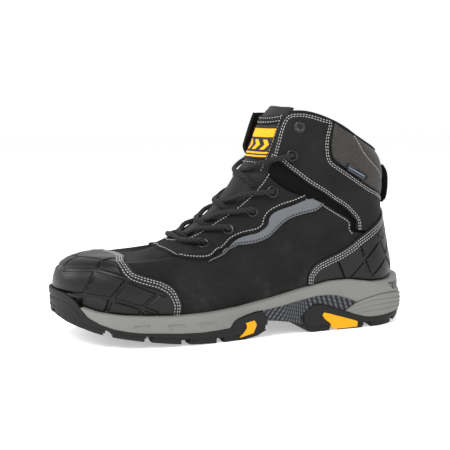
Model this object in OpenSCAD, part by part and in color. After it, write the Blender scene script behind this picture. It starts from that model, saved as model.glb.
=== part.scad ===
// Safety work boot, left foot, ankle height, laced over six pairs of eyelets.
// Frame: the toe points along -X, the outer side faces -Y, up is +Z, and the
// tread stands on Z = 0. All lengths are millimetres.
//
// The upper is built on one surface, the outside of the leather. A point of it
// is named by an angle (0 at the toe, 90 outer side, 180 heel, -90 inner side)
// and a ring number (0 at the feather line, 8 at the top line). Every shell of
// the upper is a patch between two curves of such points, moved in or out
// along the surface's normal, so that the layers nest without touching.

/* [Upper] */
// Thickness of the upper leather
leather_t = 1.8; // [1.4:0.1:1.8]
// Thickness of the moulded toe and heel overlays and of the stays
overlay_t = 1.6; // [1.2:0.1:1.8]
// Wall of the steel toe cap
cap_t = 1.8; // [1.4:0.1:1.9]
// Thickness of the padded lining
lining_t = 1.4; // [1.0:0.1:1.6]
// Thickness of the tongue's padding down its middle
tongue_t = 6; // [4:0.5:7]

/* [Lacing] */
// Diameter of the round lace
lace_d = 4.2; // [3.5:0.1:4.6]
// Outer diameter of an eyelet's flange
eyelet_d = 9; // [7.5:0.5:9.5]
// Bore of an eyelet
eyelet_bore = 5; // [4:0.1:5]

/* [Sole] */
// How far the sole stands out past the upper
sole_flange = 4.3; // [3.5:0.1:5]
// Depth of the grooves between the tread's lugs
lug_depth = 4; // [2:0.5:4]
// Width of the grooves between the lugs
lug_gap = 5; // [3:0.5:6]
// Thickness of the puncture-resistant plate
plate_t = 1.2; // [0.8:0.1:1.2]
// Thickness of the footbed
footbed_t = 5; // [3:0.5:5]

/* [Trim] */
// Width of the pull tab's webbing
tab_w = 20; // [14:1:24]

/* [Hidden] */
$fn = 48;

// Where the boot's own axes stand in the frame, so that it is centred on it.
centre = [0.4, -1, 0];
// Gap kept between one layer and the next.
gap = 0.3;
// Layers, as distances from the outside of the leather.
over_in = gap;
over_out = gap + overlay_t;
inner_out = -leather_t - gap;
lining_out = -5;
lining_in = lining_out - lining_t;

// ---- The outside of the leather ------------------------------------------
// One row a ring: front x and z, back x and z, nose radius, heel radius,
// half widths at the ball, the waist and the heel, and the sag of the ring.
RINGS = [
  [-147, 25, 142, 27, 58, 38, 48, 37, 34, -10],
  [-151, 46, 144, 48, 60, 38, 50, 39, 36, -4],
  [-145, 60.5, 141, 66, 58, 38, 45, 38, 35, -1],
  [-128, 66, 138.5, 80, 62, 38, 38, 37, 34, 0],
  [-88, 66.5, 136.5, 92, 72, 38, 35, 36, 33, 0],
  [-50, 80.7, 136, 104, 72, 40, 33, 35, 33, 0],
  [-16, 107, 136, 117, 66, 42, 32, 35, 34, 0],
  [8, 142, 135, 132, 56, 44, 34, 37, 36, 1],
  [25, 180, 131, 150, 46, 46, 35, 40, 38, 11]];
// How far the toe swings inward and the waist swings outward.
toe_swing = 7;
waist_swing = 4;
// How far the vamp's shoulders drop below its middle line.
shoulder = 3.2;

function clamp01(x) = min(max(x, 0), 1);
function ease(x) = let (t = clamp01(x)) t * t * (3 - 2 * t);

// A row of RINGS at any ring number, on a smooth curve through the rows.
function ring(k) =
  let (n = len(RINGS) - 1, i = min(max(floor(k), 0), n - 1), t = k - i,
       b = RINGS[i], c = RINGS[i + 1],
       a = i > 0 ? RINGS[i - 1] : 2 * b - c,
       d = i < n - 1 ? RINGS[i + 2] : 2 * c - b)
  0.5 * (2 * b + (c - a) * t + (2 * a - 5 * b + 4 * c - d) * t * t
         + (3 * b - a - 3 * c + d) * t * t * t);

// A point on the outside of the leather.
function skin(phi, k) =
  let (r = ring(k), s = (1 - cos(phi)) / 2,
       run = norm([r[2] - r[0], r[3] - r[1]]),
       nose = sqrt(1 - pow(1 - min(s * run / r[4], 1), 2)),
       heel = sqrt(1 - pow(1 - min((1 - s) * run / r[5], 1), 2)),
       fore = r[6] + (r[7] - r[6]) * ease((s - 0.3) / 0.28),
       half = fore + (r[8] - fore) * ease((s - 0.56) / 0.26),
       low = 1 - ease(k / 8),
       swing = low * (toe_swing * pow(1 - s, 2)
                      - waist_swing * pow(sin(180 * pow(s, 0.8)), 2)),
       hump = pow(sin(180 * pow(s, 0.6)), 2),
       drop = shoulder * ease((k - 2.5) / 0.9) * ease((5.3 - k) / 0.9)
              * ease(s / 0.07) * ease((0.34 - s) / 0.24),
       side = sin(phi) >= 0 ? -1 : 1)
  [r[0] + s * (r[2] - r[0]), side * half * nose * heel + swing,
   r[1] + s * (r[3] - r[1]) + r[9] * hump - drop];

// The outward normal there.
function normal(phi, k) =
  let (a = skin(phi + 0.7, k) - skin(phi - 0.7, k),
       b = skin(phi, k + 0.02) - skin(phi, k - 0.02), c = cross(a, b))
  c / norm(c);

function at(q, out) = skin(q[0], q[1]) + out * normal(q[0], q[1]);

// The ring number at a height, found by halving.
function ring_at(phi, z, lo = -0.3, hi = 2.6, n = 14) =
  n == 0 ? (lo + hi) / 2
  : let (m = (lo + hi) / 2)
    skin(phi, m)[2] > z ? ring_at(phi, z, lo, m, n - 1)
                        : ring_at(phi, z, m, hi, n - 1);

// ---- Curves and patches ---------------------------------------------------
function flip(l) = [for (i = [len(l) - 1:-1:0]) [-l[i][0], l[i][1]]];
function back(l) = [for (i = [len(l) - 1:-1:0]) l[i]];
function tail(l) = [for (i = [1:len(l) - 1]) l[i]];
// Both sides of a curve that starts on the middle of the front.
function both_front(l) = concat(flip(tail(l)), l);
// Both sides of a curve that ends on the middle of the back.
function both_back(l) =
  concat(l, [for (i = [len(l) - 2:-1:0]) [360 - l[i][0], l[i][1]]]);

// A smooth curve through given points, with sub steps from each to the next.
function smooth(p, sub) =
  let (n = len(p) - 1)
  concat([for (i = [0:n - 1]) for (j = [0:sub - 1])
    let (t = j / sub, b = p[i], c = p[i + 1],
         a = i > 0 ? p[i - 1] : 2 * b - c,
         d = i < n - 1 ? p[i + 2] : 2 * c - b)
    0.5 * (2 * b + (c - a) * t + (2 * a - 5 * b + 4 * c - d) * t * t
           + (3 * b - a - 3 * c + d) * t * t * t)], [p[n]]);

// A closed shell between two grids of points, one row after the other.
module shell(outer, inner, n, rows) {
  m = n * (rows + 1);
  faces = concat(
    [for (j = [0:rows - 1]) for (i = [0:n - 2])
      let (a = j * n + i, b = a + n) each [[a, b, b + 1], [a, b + 1, a + 1]]],
    [for (j = [0:rows - 1]) for (i = [0:n - 2])
      let (a = m + j * n + i, b = a + n)
      each [[a, b + 1, b], [a, a + 1, b + 1]]],
    [for (i = [0:n - 2]) let (a = i, b = m + i)
      each [[a, a + 1, b + 1], [a, b + 1, b]]],
    [for (i = [0:n - 2]) let (a = rows * n + i, b = m + a)
      each [[a + 1, a, b], [a + 1, b, b + 1]]],
    [for (j = [0:rows - 1]) let (a = j * n, b = m + a)
      each [[a + n, a, b], [a + n, b, b + n]]],
    [for (j = [0:rows - 1]) let (a = j * n + n - 1, b = m + a)
      each [[a, a + n, b + n], [a, b + n, b]]]);
  polyhedron(points = concat(outer, inner), faces = faces, convexity = 6);
}

function grid(a, b, rows, out) =
  [for (j = [0:rows]) for (i = [0:len(a) - 1])
    let (q = a[i] + (b[i] - a[i]) * j / rows)
    at(q, is_function(out) ? out(i / (len(a) - 1), j / rows, q) : out)];

// A patch of the upper from curve lo to curve hi, between two distances.
module patch(lo, hi, sub, rows, far, near) {
  a = smooth(lo, sub);
  b = smooth(hi, sub);
  shell(grid(a, b, rows, far), grid(a, b, rows, near), len(a), rows);
}

// The solid foot inside a given distance, from ring k0 up to ring k1.
module foot(out, k0, k1, rows, n = 60) {
  h = n / 2;
  top = rows * n;
  pts = [for (j = [0:rows]) for (i = [0:n - 1])
    at([i * 360 / n, k0 + (k1 - k0) * j / rows], out)];
  walls = [for (j = [0:rows - 1]) for (i = [0:n - 1])
    let (a = j * n + i, b = j * n + (i + 1) % n)
    each [[a, a + n, b + n], [a, b + n, b]]];
  ends = [for (i = [1:h - 2])
    let (a = i, b = i + 1, c = n - i, d = n - i - 1)
    each [[a, b, d], [a, d, c],
          [top + b, top + a, top + d], [top + a, top + c, top + d]]];
  tips = [[0, 1, n - 1], [h, n - h + 1, h - 1],
          [top + 1, top, top + n - 1], [top + n - h + 1, top + h, top + h - 1]];
  polyhedron(points = pts, faces = concat(walls, ends, tips), convexity = 6);
}

// ---- The sole's outlines ---------------------------------------------------
// The outline seen from above, a distance outside ring k, longer at the heel.
function outline(k, out, heel_out = 0) =
  [for (i = [0:71])
    let (phi = i * 5, p = skin(phi, k), n = normal(phi, k),
         m = norm([n[0], n[1]]),
         g = out + heel_out * ease((180 - abs(180 - phi) - 140) / 40))
    [p[0] + n[0] / m * g, p[1] + n[1] / m * g]];

module standing(points, z0 = -5, z1 = 80)
  translate([0, 0, z0]) linear_extrude(z1 - z0) polygon(points);

// A side view, drawn in x and z, cut through the whole width.
module side(points, y0 = -90, y1 = 90)
  translate([0, y1, 0]) rotate([90, 0, 0]) linear_extrude(y1 - y0)
    polygon(points);

module sole_block() standing(outline(1, sole_flange, 6.2));
module sole_core(inset) standing(outline(1, sole_flange - inset, 6.2), 0.5, 79);

// Bottom of the tread: toe spring, ball, and the heel after the arch.
fore_floor = [[-158, 26], [-153, 22.6], [-148, 19.4], [-142, 17], [-136, 15],
  [-130, 12.9], [-122, 10.8], [-114, 9.2], [-104, 7.5], [-94, 5.9], [-84, 4.4],
  [-74, 3], [-62, 1.8], [-48, 0.8], [-34, 0.2], [-26, 0], [-8, 0], [4, 2], [12, 6]];
heel_floor = [[46, 5], [50, 1.2], [54, 0], [124, 0], [134, 1], [143, 4],
  [152, 9], [158, 16]];
function fore_z(x) = lookup(x, fore_floor);
function heel_z(x) = lookup(x, heel_floor);

// Line between the black rubber and the grey foam, toe to waist.
fore_line = [[7, 22.3], [2, 22], [-8, 19.8], [-16, 17.4], [-19, 15],
  [-19.5, 11.2], [-33, 10.3], [-46, 9.9], [-65, 10.5], [-94, 12.5],
  [-105, 13.8], [-116, 16], [-126, 19.7], [-134, 24.6], [-139, 31.5]];
// Top of the rubber guard that climbs over the toe.
guard_line = [[-142, 36.2], [-146, 40], [-150, 42.4], [-158, 44]];
fore_profile = concat(fore_floor, [[10.5, 6.8], [13, 15.2]], fore_line,
  guard_line);
// Top of the heel rubber, from the back to the arch.
heel_line = [[158, 17], [154, 13], [144, 10.6], [133, 9.6], [119, 8.8],
  [107, 9.2], [96, 12], [86, 15.6], [73, 19.9], [63, 23.3], [56, 23.8],
  [44, 14.4]];
heel_profile = concat(heel_floor, heel_line);
arch_profile = [[12.6, 8], [29, 9], [45.5, 7.4], [43.6, 14.4], [55.9, 24.1],
  [63, 23.6], [73, 20.2], [86, 15.9], [96.6, 22.2], [87, 26.6], [78, 29.3],
  [69, 30.5], [59, 30.4], [44, 28.2], [23, 24.2], [7.6, 22.4], [13.3, 15.3]];
rim_line = [[152, 41], [146, 40.5], [133, 38.6], [112, 39], [90, 42.3],
  [71, 42], [43, 37], [15, 31], [-12, 27], [-39, 25], [-69, 24.5], [-89, 25.5],
  [-112, 26.8], [-128, 28.8], [-139.2, 32.2]];
foam_profile = concat(
  [[-138.8, 31.9], [-133.8, 24.9], [-125.9, 20], [-115.9, 16.3],
   [-104.9, 14.1], [-94, 12.8], [-65, 10.8], [-46, 10.2], [-33, 10.6],
   [-20.3, 11.5], [-20.2, 12.3], [12, 12.3], [12, 13.3], [47, 13.3],
   [96.2, 13.3], [96.5, 12.2], [107, 9.5], [119, 9.1], [133, 9.9], [144, 10.9], [153.8, 13.3],
   [154.6, 22], [151.6, 32], [150, 39]], rim_line);
// Side walls of rubber and of the stabiliser reach this far in from outside.
wall = 2.7;
insert_depth = 1.8;
insert_fore = [[-8, 14], [0, 15.2], [2, 12.3], [1, 9.9], [-1, 5.1], [-13, 3],
  [-7, 10]];
insert_heel = [[63, 13.9], [65, 16.2], [96, 6.4], [96, 2.6], [74, 2.6],
  [71, 6.3], [66, 10.2]];
clip_window = [[128, 37], [149, 35.5], [160, 35.5], [160, 28], [136, 29]];

module side_walls(points)
  difference() {
    intersection() { sole_block(); side(points); }
    sole_core(wall);
  }

// Grooves between the lugs, cut across, and a channel down the middle.
module grooves(xs, floor_pts)
  for (i = [0:len(xs) - 1])
    translate([xs[i], 0, lookup(xs[i], floor_pts)])
      rotate([0, -atan((lookup(xs[i] + 4, floor_pts)
                        - lookup(xs[i] - 4, floor_pts)) / 8),
              i % 2 == 0 ? 9 : -9])
        cube([lug_gap, 150, 2 * lug_depth], center = true);

module channel(floor_pts, depth, y0, y1)
  side(concat([for (p = floor_pts) [p[0], p[1] - 1]],
              [for (p = back(floor_pts)) [p[0], p[1] + depth]]), y0, y1);

module insert(points, outer)
  difference() {
    intersection() {
      sole_block();
      side(points, outer ? -90 : 0, outer ? 0 : 90);
    }
    sole_core(insert_depth);
  }

// ---- Sole ------------------------------------------------------------------
module outsole_forefoot()
  color("#1b1c1b") difference() {
    intersection() { sole_block(); side(fore_profile); }
    translate([0, 0, 11.5]) difference() {
      sole_core(wall);
      translate([-220, -100, -5]) cube([200, 200, 100]);
    }
    foot(over_out + 2 * gap, -0.04, 2.4, 6);
    grooves([-128, -113, -98, -83, -68, -53, -38, -23], fore_floor);
    channel(fore_floor, lug_depth - 1, -3, 3);
    difference() {
      side(insert_fore);
      sole_core(insert_depth);
    }
  }

module outsole_heel()
  color("#1b1c1b") difference() {
    intersection() { sole_block(); side(heel_profile); }
    translate([0, 0, 12.5]) difference() {
      sole_core(wall);
      translate([96, -100, -5]) cube([100, 200, 100]);
    }
    grooves([67, 83, 99, 115, 131], heel_floor);
    channel(heel_floor, lug_depth - 1, -3, 3);
    difference() {
      side(insert_heel);
      sole_core(insert_depth);
    }
  }

// Plate under the arch with a wing up each side.
module arch_stabiliser()
  color("#4a5560") difference() {
    intersection() { sole_block(); side(arch_profile); }
    translate([0, 0, 12.5]) sole_core(wall);
    translate([45.2, -100, 0]) cube([60, 200, 12.5]);
    // The wings end higher than the beam between them.
    for (y = [-90, 18])
      side([[10, 0], [10, 13.9], [23.6, 12.2], [33.7, 10.6], [44, 7.4], [44, 0]],
           y, y + 72);
  }

module midsole()
  color("#9a9c98") difference() {
    intersection() { sole_block(); side(foam_profile); }
    // Room for the walls of the rubber and of the stabiliser.
    difference() {
      union() {
        side([[-20, 12], [-19.2, 15.1], [-16.2, 17.7], [-8, 20.1], [2, 22.4],
              [7, 22.7], [23, 24.6], [44, 28.5], [59, 30.7], [69, 30.8],
              [78, 29.6], [87.3, 26.9], [97, 22.3], [86.6, 15.7], [96.2, 12.2],
              [96, 10], [-20, 10]]);
      }
      sole_core(wall + gap);
    }
    difference() {
      side(clip_window);
      sole_core(1.6 + gap);
      translate([-200, -100, 0]) cube([328, 200, 90]);
    }
    foot(gap, -0.04, 2.4, 6);
  }

module insert_forefoot_outer() color("#f2b01a") insert(insert_fore, true);
module insert_forefoot_inner() color("#f2b01a") insert(insert_fore, false);
module insert_heel_outer() color("#f2b01a") insert(insert_heel, true);
module insert_heel_inner() color("#f2b01a") insert(insert_heel, false);

// Moulded clip let into the back of the foam rim.
module heel_clip()
  color("#4a5560") difference() {
    intersection() {
      sole_block();
      side([[128.3, 36.7], [149, 35.2], [151, 35.2], [152, 31], [152, 28.3],
            [136.1, 29.3]]);
    }
    sole_core(1.6);
    translate([-200, -100, 0]) cube([328.2, 200, 90]);
  }

// Layers of the bottom, curved along the feather line.
bed_line = [for (i = [0:30]) let (p = skin(i * 6, 0)) [p[0], p[2]]];
module layer(z0, z1, inset)
  intersection() {
    standing(outline(0, -inset), 0, 80);
    side(concat([for (p = bed_line) [p[0], p[1] + z0]],
                [for (p = back(bed_line)) [p[0], p[1] + z1]]));
  }
board_z = 0.4 + plate_t + gap;
bed_z = board_z + 2 + gap;
module puncture_plate() color("#8d9196") layer(0.4, 0.4 + plate_t, 7.6);
module insole_board() color("#b59a72") layer(board_z, board_z + 2, 7.6);
module footbed() color("#3f4347") layer(bed_z, bed_z + footbed_t, 7.8);

// ---- Upper: curves ---------------------------------------------------------
// Lower edge of the lace stay, from the front to its upper end.
stay_out = [[0, 4.52], [13, 4.45], [26, 4.34], [38, 4.12], [48, 3.74],
  [57, 3.2], [65, 2.68], [73, 2.46], [75.5, 2.7], [73, 3.4], [64, 4.25],
  [60.5, 4.6], [63, 4.8], [70, 4.86], [70.5, 5.1], [67, 5.4], [66, 5.62],
  [70, 5.8], [77, 5.92], [82, 6.05]];
// Edge of the lace stay along the throat.
stay_in = [[0, 4.84], [5, 4.84], [10, 4.85], [15, 4.86], [20, 4.88],
  [23, 4.92], [25, 5.02], [26.5, 5.14], [28, 5.28], [29.5, 5.42], [31, 5.56],
  [33, 5.7], [34.5, 5.82], [36, 5.93], [37.5, 6.06], [38.7, 6.18],
  [40, 6.3], [41, 6.44], [42, 6.6], [42.5, 6.76]];
// Foot of those two curves on the feather line.
stay_foot = [for (i = [0:19]) i * 4.1];
// Top edge of the side leather behind the stay, down to the heel.
quarter_top = [[90, 5.95], [97.2, 5.78], [104.5, 5.52], [111.5, 5.23],
  [118, 4.92], [123.6, 4.6], [127.8, 4.22], [129.4, 3.8], [132, 3.44],
  [140, 3.16], [148, 3.12], [155, 3.3], [162, 3.47], [168, 3.6], [174, 3.67],
  [179.6, 3.7]];
quarter_foot = [86, 93, 101, 109, 116, 123, 129, 134, 139, 145, 151, 157, 163,
  168, 174, 179.6];
vamp_top = concat(
  [for (i = [0:19]) stay_out[i] * 0.76 + stay_in[i] * 0.24], quarter_top);
vamp_foot = concat([for (p = stay_foot) [p, 0]],
  [for (p = quarter_foot) [p, 0]]);

rim_up = concat([[160, 41.5]], rim_line, [[-144, 28], [-160, 28]]);
function rim_z(phi) =
  let (x = skin(phi, 1)[0]) lookup(x, [for (p = back(rim_up)) p]);
function on_rim(phi) = [phi, ring_at(phi, rim_z(phi) + 1)];

toe_edge = [[0, 3.8], [10, 3.75], [20, 3.56], [32, 3.2], [41.4, 2.57],
  [46.7, 2.01], [50, 1.82], [54.3, 1.66], [59.3, 1.48], [63.6, 1.2], [65.7, 0.86],
  [66.4, 0.6]];
toe_foot = [0, 9, 17, 25, 33, 40, 45, 50, 55, 60, 63.6, 66];
heel_edge = [[111.8, 1.1], [115, 1.53], [120, 1.8], [125.8, 2.08],
  [131.5, 2.48], [136.5, 2.98], [144.4, 3.55], [156, 4.03], [168, 4.5],
  [180, 4.7]];
heel_foot = [111.6, 114.5, 119, 125, 131, 137, 145, 156, 168, 180];

strip_low = [[74.6, 2.2], [79.4, 2.75], [77, 3.4], [72, 4.02], [76, 3.98],
  [80, 3.98], [83, 4.25], [82, 4.7], [81.6, 5.1], [84, 5.3], [90, 5.4],
  [96, 5.47], [98.4, 5.72]];
strip_high = [[75.3, 2.36], [78, 2.75], [75, 3.36], [66.5, 4.2], [64, 4.6],
  [68, 4.72], [72, 4.76], [72.6, 5.1], [68.6, 5.46], [69.6, 5.66], [77, 5.8],
  [83, 5.95], [88, 6.0]];

cuff_top = [[38, 8], [46, 8], [56, 8], [66, 8], [76, 8], [85.6, 8],
  [86, 7.66], [87, 7.44], [90.5, 7.2], [96.5, 7.08], [104, 6.95], [112, 6.78],
  [122, 6.53], [133, 6.23], [143, 6], [152, 5.78], [163, 5.5], [172, 5.4],
  [179.6, 5.36]];
cuff_low = [[40, 7.1], [50, 7.03], [60, 6.88], [69, 6.73], [78, 6.54],
  [86, 6.36], [91, 6.24], [96, 6.1], [101, 5.93], [106, 5.75], [111, 5.57],
  [116, 5.36], [121, 5.08], [127, 4.66], [131.5, 4.2], [134, 3.6],
  [145, 3.28], [163, 3.72], [179.6, 4]];
collar_low = [[86.9, 7.96], [87.4, 7.66], [88.4, 7.47], [91.6, 7.26],
  [97.2, 7.14], [104.6, 7.01], [112.6, 6.84], [122.6, 6.59], [133.6, 6.29],
  [143.5, 6.06], [152.5, 5.84], [163.3, 5.56], [172, 5.46], [180, 5.42]];
collar_top = [[87.6, 8], [92, 8], [97, 8], [103, 8], [109, 8], [115, 8],
  [122, 8], [130, 8], [138, 8], [146, 8], [154, 8], [163, 8], [172, 8],
  [180, 8]];
gusset_low = [[47, 6.58], [60, 6.3], [80, 5.88], [97, 5.55], [111, 5],
  [121, 4.4], [126, 3.9], [128, 2.9]];
gusset_high = [[46.5, 7.14], [53, 7.06], [70, 6.82], [91, 6.45], [113, 5.75],
  [127, 5.05], [137, 4.2], [139, 3]];

// ---- Upper: pieces ---------------------------------------------------------
stay_eyes = [[43, 4.69], [48.5, 5.15], [52.5, 5.73], [56, 6.3]];
cuff_eyes = [[58, 7.18], [58, 7.72]];

module on_skin(q, out) {
  n = normal(q[0], q[1]);
  translate(at(q, out)) rotate([0, acos(n[2]), atan2(n[1], n[0])]) children();
}

module eye_holes(eyes)
  for (e = concat(eyes, flip(eyes)))
    on_skin(e, 0) translate([0, 0, -8]) cylinder(h = 16, d = eyelet_bore + 2.2);

module eyelets(eyes, seat, reach)
  color("#3a3c3e") for (e = concat(eyes, flip(eyes)))
    on_skin(e, seat) rotate_extrude()
      polygon([[eyelet_bore / 2, -reach], [eyelet_bore / 2 + 0.6, -reach],
        [eyelet_bore / 2 + 0.6, 1.1], [eyelet_d / 2, 1.1],
        [eyelet_d / 2 - 0.2, 1.4], [eyelet_d / 2 - 1, 1.7],
        [eyelet_bore / 2 + 0.4, 1.6], [eyelet_bore / 2, 1.2]]);

module vamp()
  color("#262725")
    patch(concat(flip(tail(vamp_foot)), vamp_foot), both_front(vamp_top),
          1, 12, 0, -leather_t);

module toe_cap()
  color("#8f979e")
    patch(both_front([[0, 0.08], [10, 0.08], [20, 0.08], [28, 0.08],
                      [36, 0.08], [43, 0.08], [50, 0.08], [55, 0.08]]),
          both_front([[0, 3.58], [20, 3.38], [32, 2.96], [41, 2.36],
                      [46, 1.88], [50, 1.6], [54, 1.2], [57, 0.5]]),
          2, 9, inner_out - 0.1, inner_out - 0.1 - cap_t);

module heel_counter()
  color("#c9b79a")
    patch(both_back([[104, 0.3], [120, 0.3], [136, 0.3], [152, 0.3],
                     [168, 0.3], [180, 0.3]]),
          both_back([[106, 1.3], [121, 1.75], [136, 2.15], [150, 2.45],
                     [166, 2.6], [180, 2.65]]),
          3, 6, inner_out - 0.2, inner_out - 2);

// Sock of padded fabric inside the lower boot.
lining_top = [[0, 4.1], [16, 4.05], [32, 3.95], [46, 3.95], [55, 4.4],
  [61, 5.1], [65, 5.7], [80, 5.92], [97, 5.6], [111, 5.05], [122, 4.4],
  [128, 3.7], [134, 2.95], [150, 2.9], [165, 3], [179.6, 3.05]];
lining_foot = [0, 11, 22, 33, 43, 52, 61, 70, 81, 94, 107, 119, 131, 147, 163,
  179.6];
module lining()
  color("#2c2f33")
    patch(both_front([for (p = lining_foot) [p, 0.2]]),
          both_front(lining_top), 1, 9, lining_out, lining_in);

module toe_overlay()
  color("#202122")
    patch(both_front([for (p = toe_foot) on_rim(p)]), both_front(toe_edge),
          2, 10, over_out, over_in);

module heel_overlay()
  color("#202122")
    patch(both_back([for (p = heel_foot) on_rim(p)]), both_back(heel_edge),
          2, 8, over_out, over_in);

module eyestay()
  color("#262725") difference() {
    patch(both_front(stay_out), both_front(stay_in), 1, 7, over_out, over_in);
    eye_holes(stay_eyes);
  }

module reflective_outer()
  color("#9aa0a6") patch(strip_low, strip_high, 1, 2, over_in + 1, over_in);
module reflective_inner()
  color("#9aa0a6")
    patch(flip(strip_low), flip(strip_high), 1, 2, over_in + 1, over_in);

module eyelets_lower() eyelets(stay_eyes, over_out, overlay_t + 0.8);
module eyelets_upper() eyelets(cuff_eyes, 0, leather_t + 0.6);

module flex_gusset_outer()
  color("#141516")
    patch(gusset_low, gusset_high, 2, 3, inner_out - 0.6, inner_out - 1.8);
module flex_gusset_inner()
  color("#141516")
    patch(flip(gusset_low), flip(gusset_high), 2, 3, inner_out - 0.6,
          inner_out - 1.8);

module cuff_panel_outer()
  color("#262725") difference() {
    patch(cuff_low, cuff_top, 1, 6, 0, -leather_t);
    eye_holes(cuff_eyes);
  }
module cuff_panel_inner()
  color("#262725") difference() {
    patch(flip(cuff_low), flip(cuff_top), 1, 6, 0, -leather_t);
    eye_holes(cuff_eyes);
  }

// Padded collar around the back, fullest in its middle.
function pad_out(u, v, q) =
  0.3 + 1.5 * sin(180 * clamp01(v)) * min(1, 12 * u * (1 - u));
module collar()
  color("#3b3734")
    patch(both_back(collar_low), both_back(collar_top), 1, 6,
          function (u, v, q) pad_out(u, v, q), -4.6);

module cuff_lining()
  color("#2c2f33")
    patch([[64, 6.93], [73, 6.76], [84, 6.5], [97, 6.16], [111, 5.65],
           [122, 5.12], [131, 4.55], [137, 3.9], [150, 3.7], [165, 3.8],
           [180, 3.9], [195, 3.8], [210, 3.7], [223, 3.9], [229, 4.55],
           [238, 5.12], [249, 5.65], [263, 6.16], [276, 6.5], [287, 6.76],
           [296, 6.93]],
          [for (i = [0:20]) [64 + i * 11.6, 7.97]],
          1, 5, lining_out, lining_in);

// Loop of webbing up the back, stitched down at both ends.
tab_out = [[136.9, 103], [140.2, 106.5], [141.5, 111], [142.2, 120],
  [141.9, 128], [140.3, 133], [138.7, 135.2]];
tab_in = [[137.2, 137.2], [136.7, 134.2], [138.6, 131.6], [140, 127.4],
  [140.3, 120], [139.7, 112], [138.6, 108], [136.5, 105.6]];
module pull_tab()
  color("#17181a") side(concat(tab_out, tab_in), -tab_w / 2, tab_w / 2);

module side_tag()
  color("#20242a")
    patch([[103, 6.98], [110, 6.86], [117, 6.72], [123.6, 6.58]],
          [[103.7, 7.17], [111, 7.04], [118.5, 6.9], [125.8, 6.75]],
          1, 2, 2.9, 2.1);

// ---- Tongue -----------------------------------------------------------------
// Full down its middle and thin at its wings, which leave room for the lace
// under the stays and stand higher above them.
function wing(phi) = ease((abs(phi) - 10) / 16);
function tongue_face(u, v, q) =
  -2.2 - (4.8 - 3.6 * ease((q[1] - 6.75) / 0.35)) * wing(q[0])
  + 1.6 * ease((v - 0.95) / 0.05);
function tongue_back(u, v, q) =
  -2.2 - tongue_t - 1.6 * wing(q[0]) - 1.2 * ease((v - 0.94) / 0.06);
module tongue()
  color("#33302e")
    patch([for (i = [-7:7]) [i * 6.2, 4.52]],
          [for (i = [-7:7]) [i * 6.2, 8.3 - 0.0035 * i * i]],
          1, 14, function (u, v, q) tongue_face(u, v, q),
          function (u, v, q) tongue_back(u, v, q));

// Flat pieces stitched to the tongue's face.
module on_tongue(k0, k1, rows)
  patch([for (i = [-6:6]) [i * 5.5, k0]], [for (i = [-6:6]) [i * 5.5, k1]],
        1, rows, function (u, v, q) tongue_face(u, 0.5, q) + 1.2,
        function (u, v, q) tongue_face(u, 0.5, q) + 0.4);
module tongue_patch() color("#262725") on_tongue(7.82, 8.02, 2);
module tongue_label() color("#e9ab1c") on_tongue(7.1, 7.74, 5);

// ---- Lace --------------------------------------------------------------------
eyes = concat(stay_eyes, [cuff_eyes[0]]);
function seat(i) = i < 4 ? over_out : 0;
function eye(i, out, s) = at([s * eyes[i][0], eyes[i][1]], seat(i) + out);
// Where a strand comes out from under one edge and goes over the other.
exits = [[20, 4.98], [26, 5.36], [31, 5.84], [36, 6.5]];
entries = [[24, 5.16], [29, 5.66], [35, 6.2], [37, 7.02]];
// Points of one strand from an eyelet up to the next pair on the other side.
function span(i, s) =
  let (a = eyes[i], b = eyes[i + 1], x = exits[i], y = entries[i],
       r = lace_d / 2, h = s > 0 ? lace_d : 0)
  [at([s * a[0], a[1]], -2.8),
   at([s * x[0], x[1]], -0.6 - r),
   at([s * x[0] * 0.55, x[1] * 0.65 + y[1] * 0.35], r - 1.5 + h * 0.4),
   at([0, (x[1] + y[1]) / 2], r - 1.6 + h),
   at([-s * y[0] * 0.6, x[1] * 0.25 + y[1] * 0.75], r + 0.6 + h * 0.3),
   at([-s * y[0], y[1]], seat(i + 1) + r + 0.5),
   at([-s * (y[0] + b[0]) / 2, (y[1] + b[1]) / 2], seat(i + 1) + r + 1.7),
   eye(i + 1, r + 2.4, -s), eye(i + 1, 1.8, -s), eye(i + 1, -0.8, -s)];
function strand(s) =
  concat([at([0, 4.9], over_out + lace_d / 2 + 0.4),
          at([s * 12, 4.86], over_out + lace_d / 2 + 0.4),
          at([s * 28, 4.72], over_out + lace_d / 2 + 1.2),
          eye(0, lace_d / 2 + 2.4, s), eye(0, 1.8, s), eye(0, -0.8, s)],
         span(0, s), span(1, -s), span(2, s), span(3, -s),
         [at([s * 58, 7.16], -4.4), at([s * 54, 7], -9),
          at([s * 47, 6.7], -12.5), at([s * 40, 6.3], -14.5)]);

// A round tube of rings along a smooth curve through the points.
module tube(points, d, sub, sides) {
  c = smooth(points, sub);
  n = len(c) - 1;
  function dir(i) = let (v = c[min(i + 1, n)] - c[max(i - 1, 0)]) v / norm(v);
  function frame(i, up) =
    let (t = dir(i), u = up - t * (up * t)) u / norm(u);
  ups = [for (i = 0, u = frame(0, [0.1, 0, 1]); i <= n;
              i = i + 1, u = i <= n ? frame(i, u) : u) u];
  pts = [for (i = [0:n]) let (u = ups[i], v = cross(dir(i), u))
    for (j = [0:sides - 1]) c[i] + d / 2 * (u * cos(j * 360 / sides)
                                            + v * sin(j * 360 / sides))];
  faces = concat(
    [for (i = [0:n - 1]) for (j = [0:sides - 1])
      let (a = i * sides + j, b = i * sides + (j + 1) % sides)
      each [[a, a + sides, b + sides], [a, b + sides, b]]],
    [[for (j = [0:sides - 1]) j]],
    [[for (j = [sides - 1:-1:0]) n * sides + j]]);
  polyhedron(points = pts, faces = faces, convexity = 8);
}

module lace()
  color("#2b2b2a")
    tube(concat(back(strand(-1)), tail(strand(1))), lace_d, 1, 8);

// ---- The boot -----------------------------------------------------------------
module placed() translate(centre) children();

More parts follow.
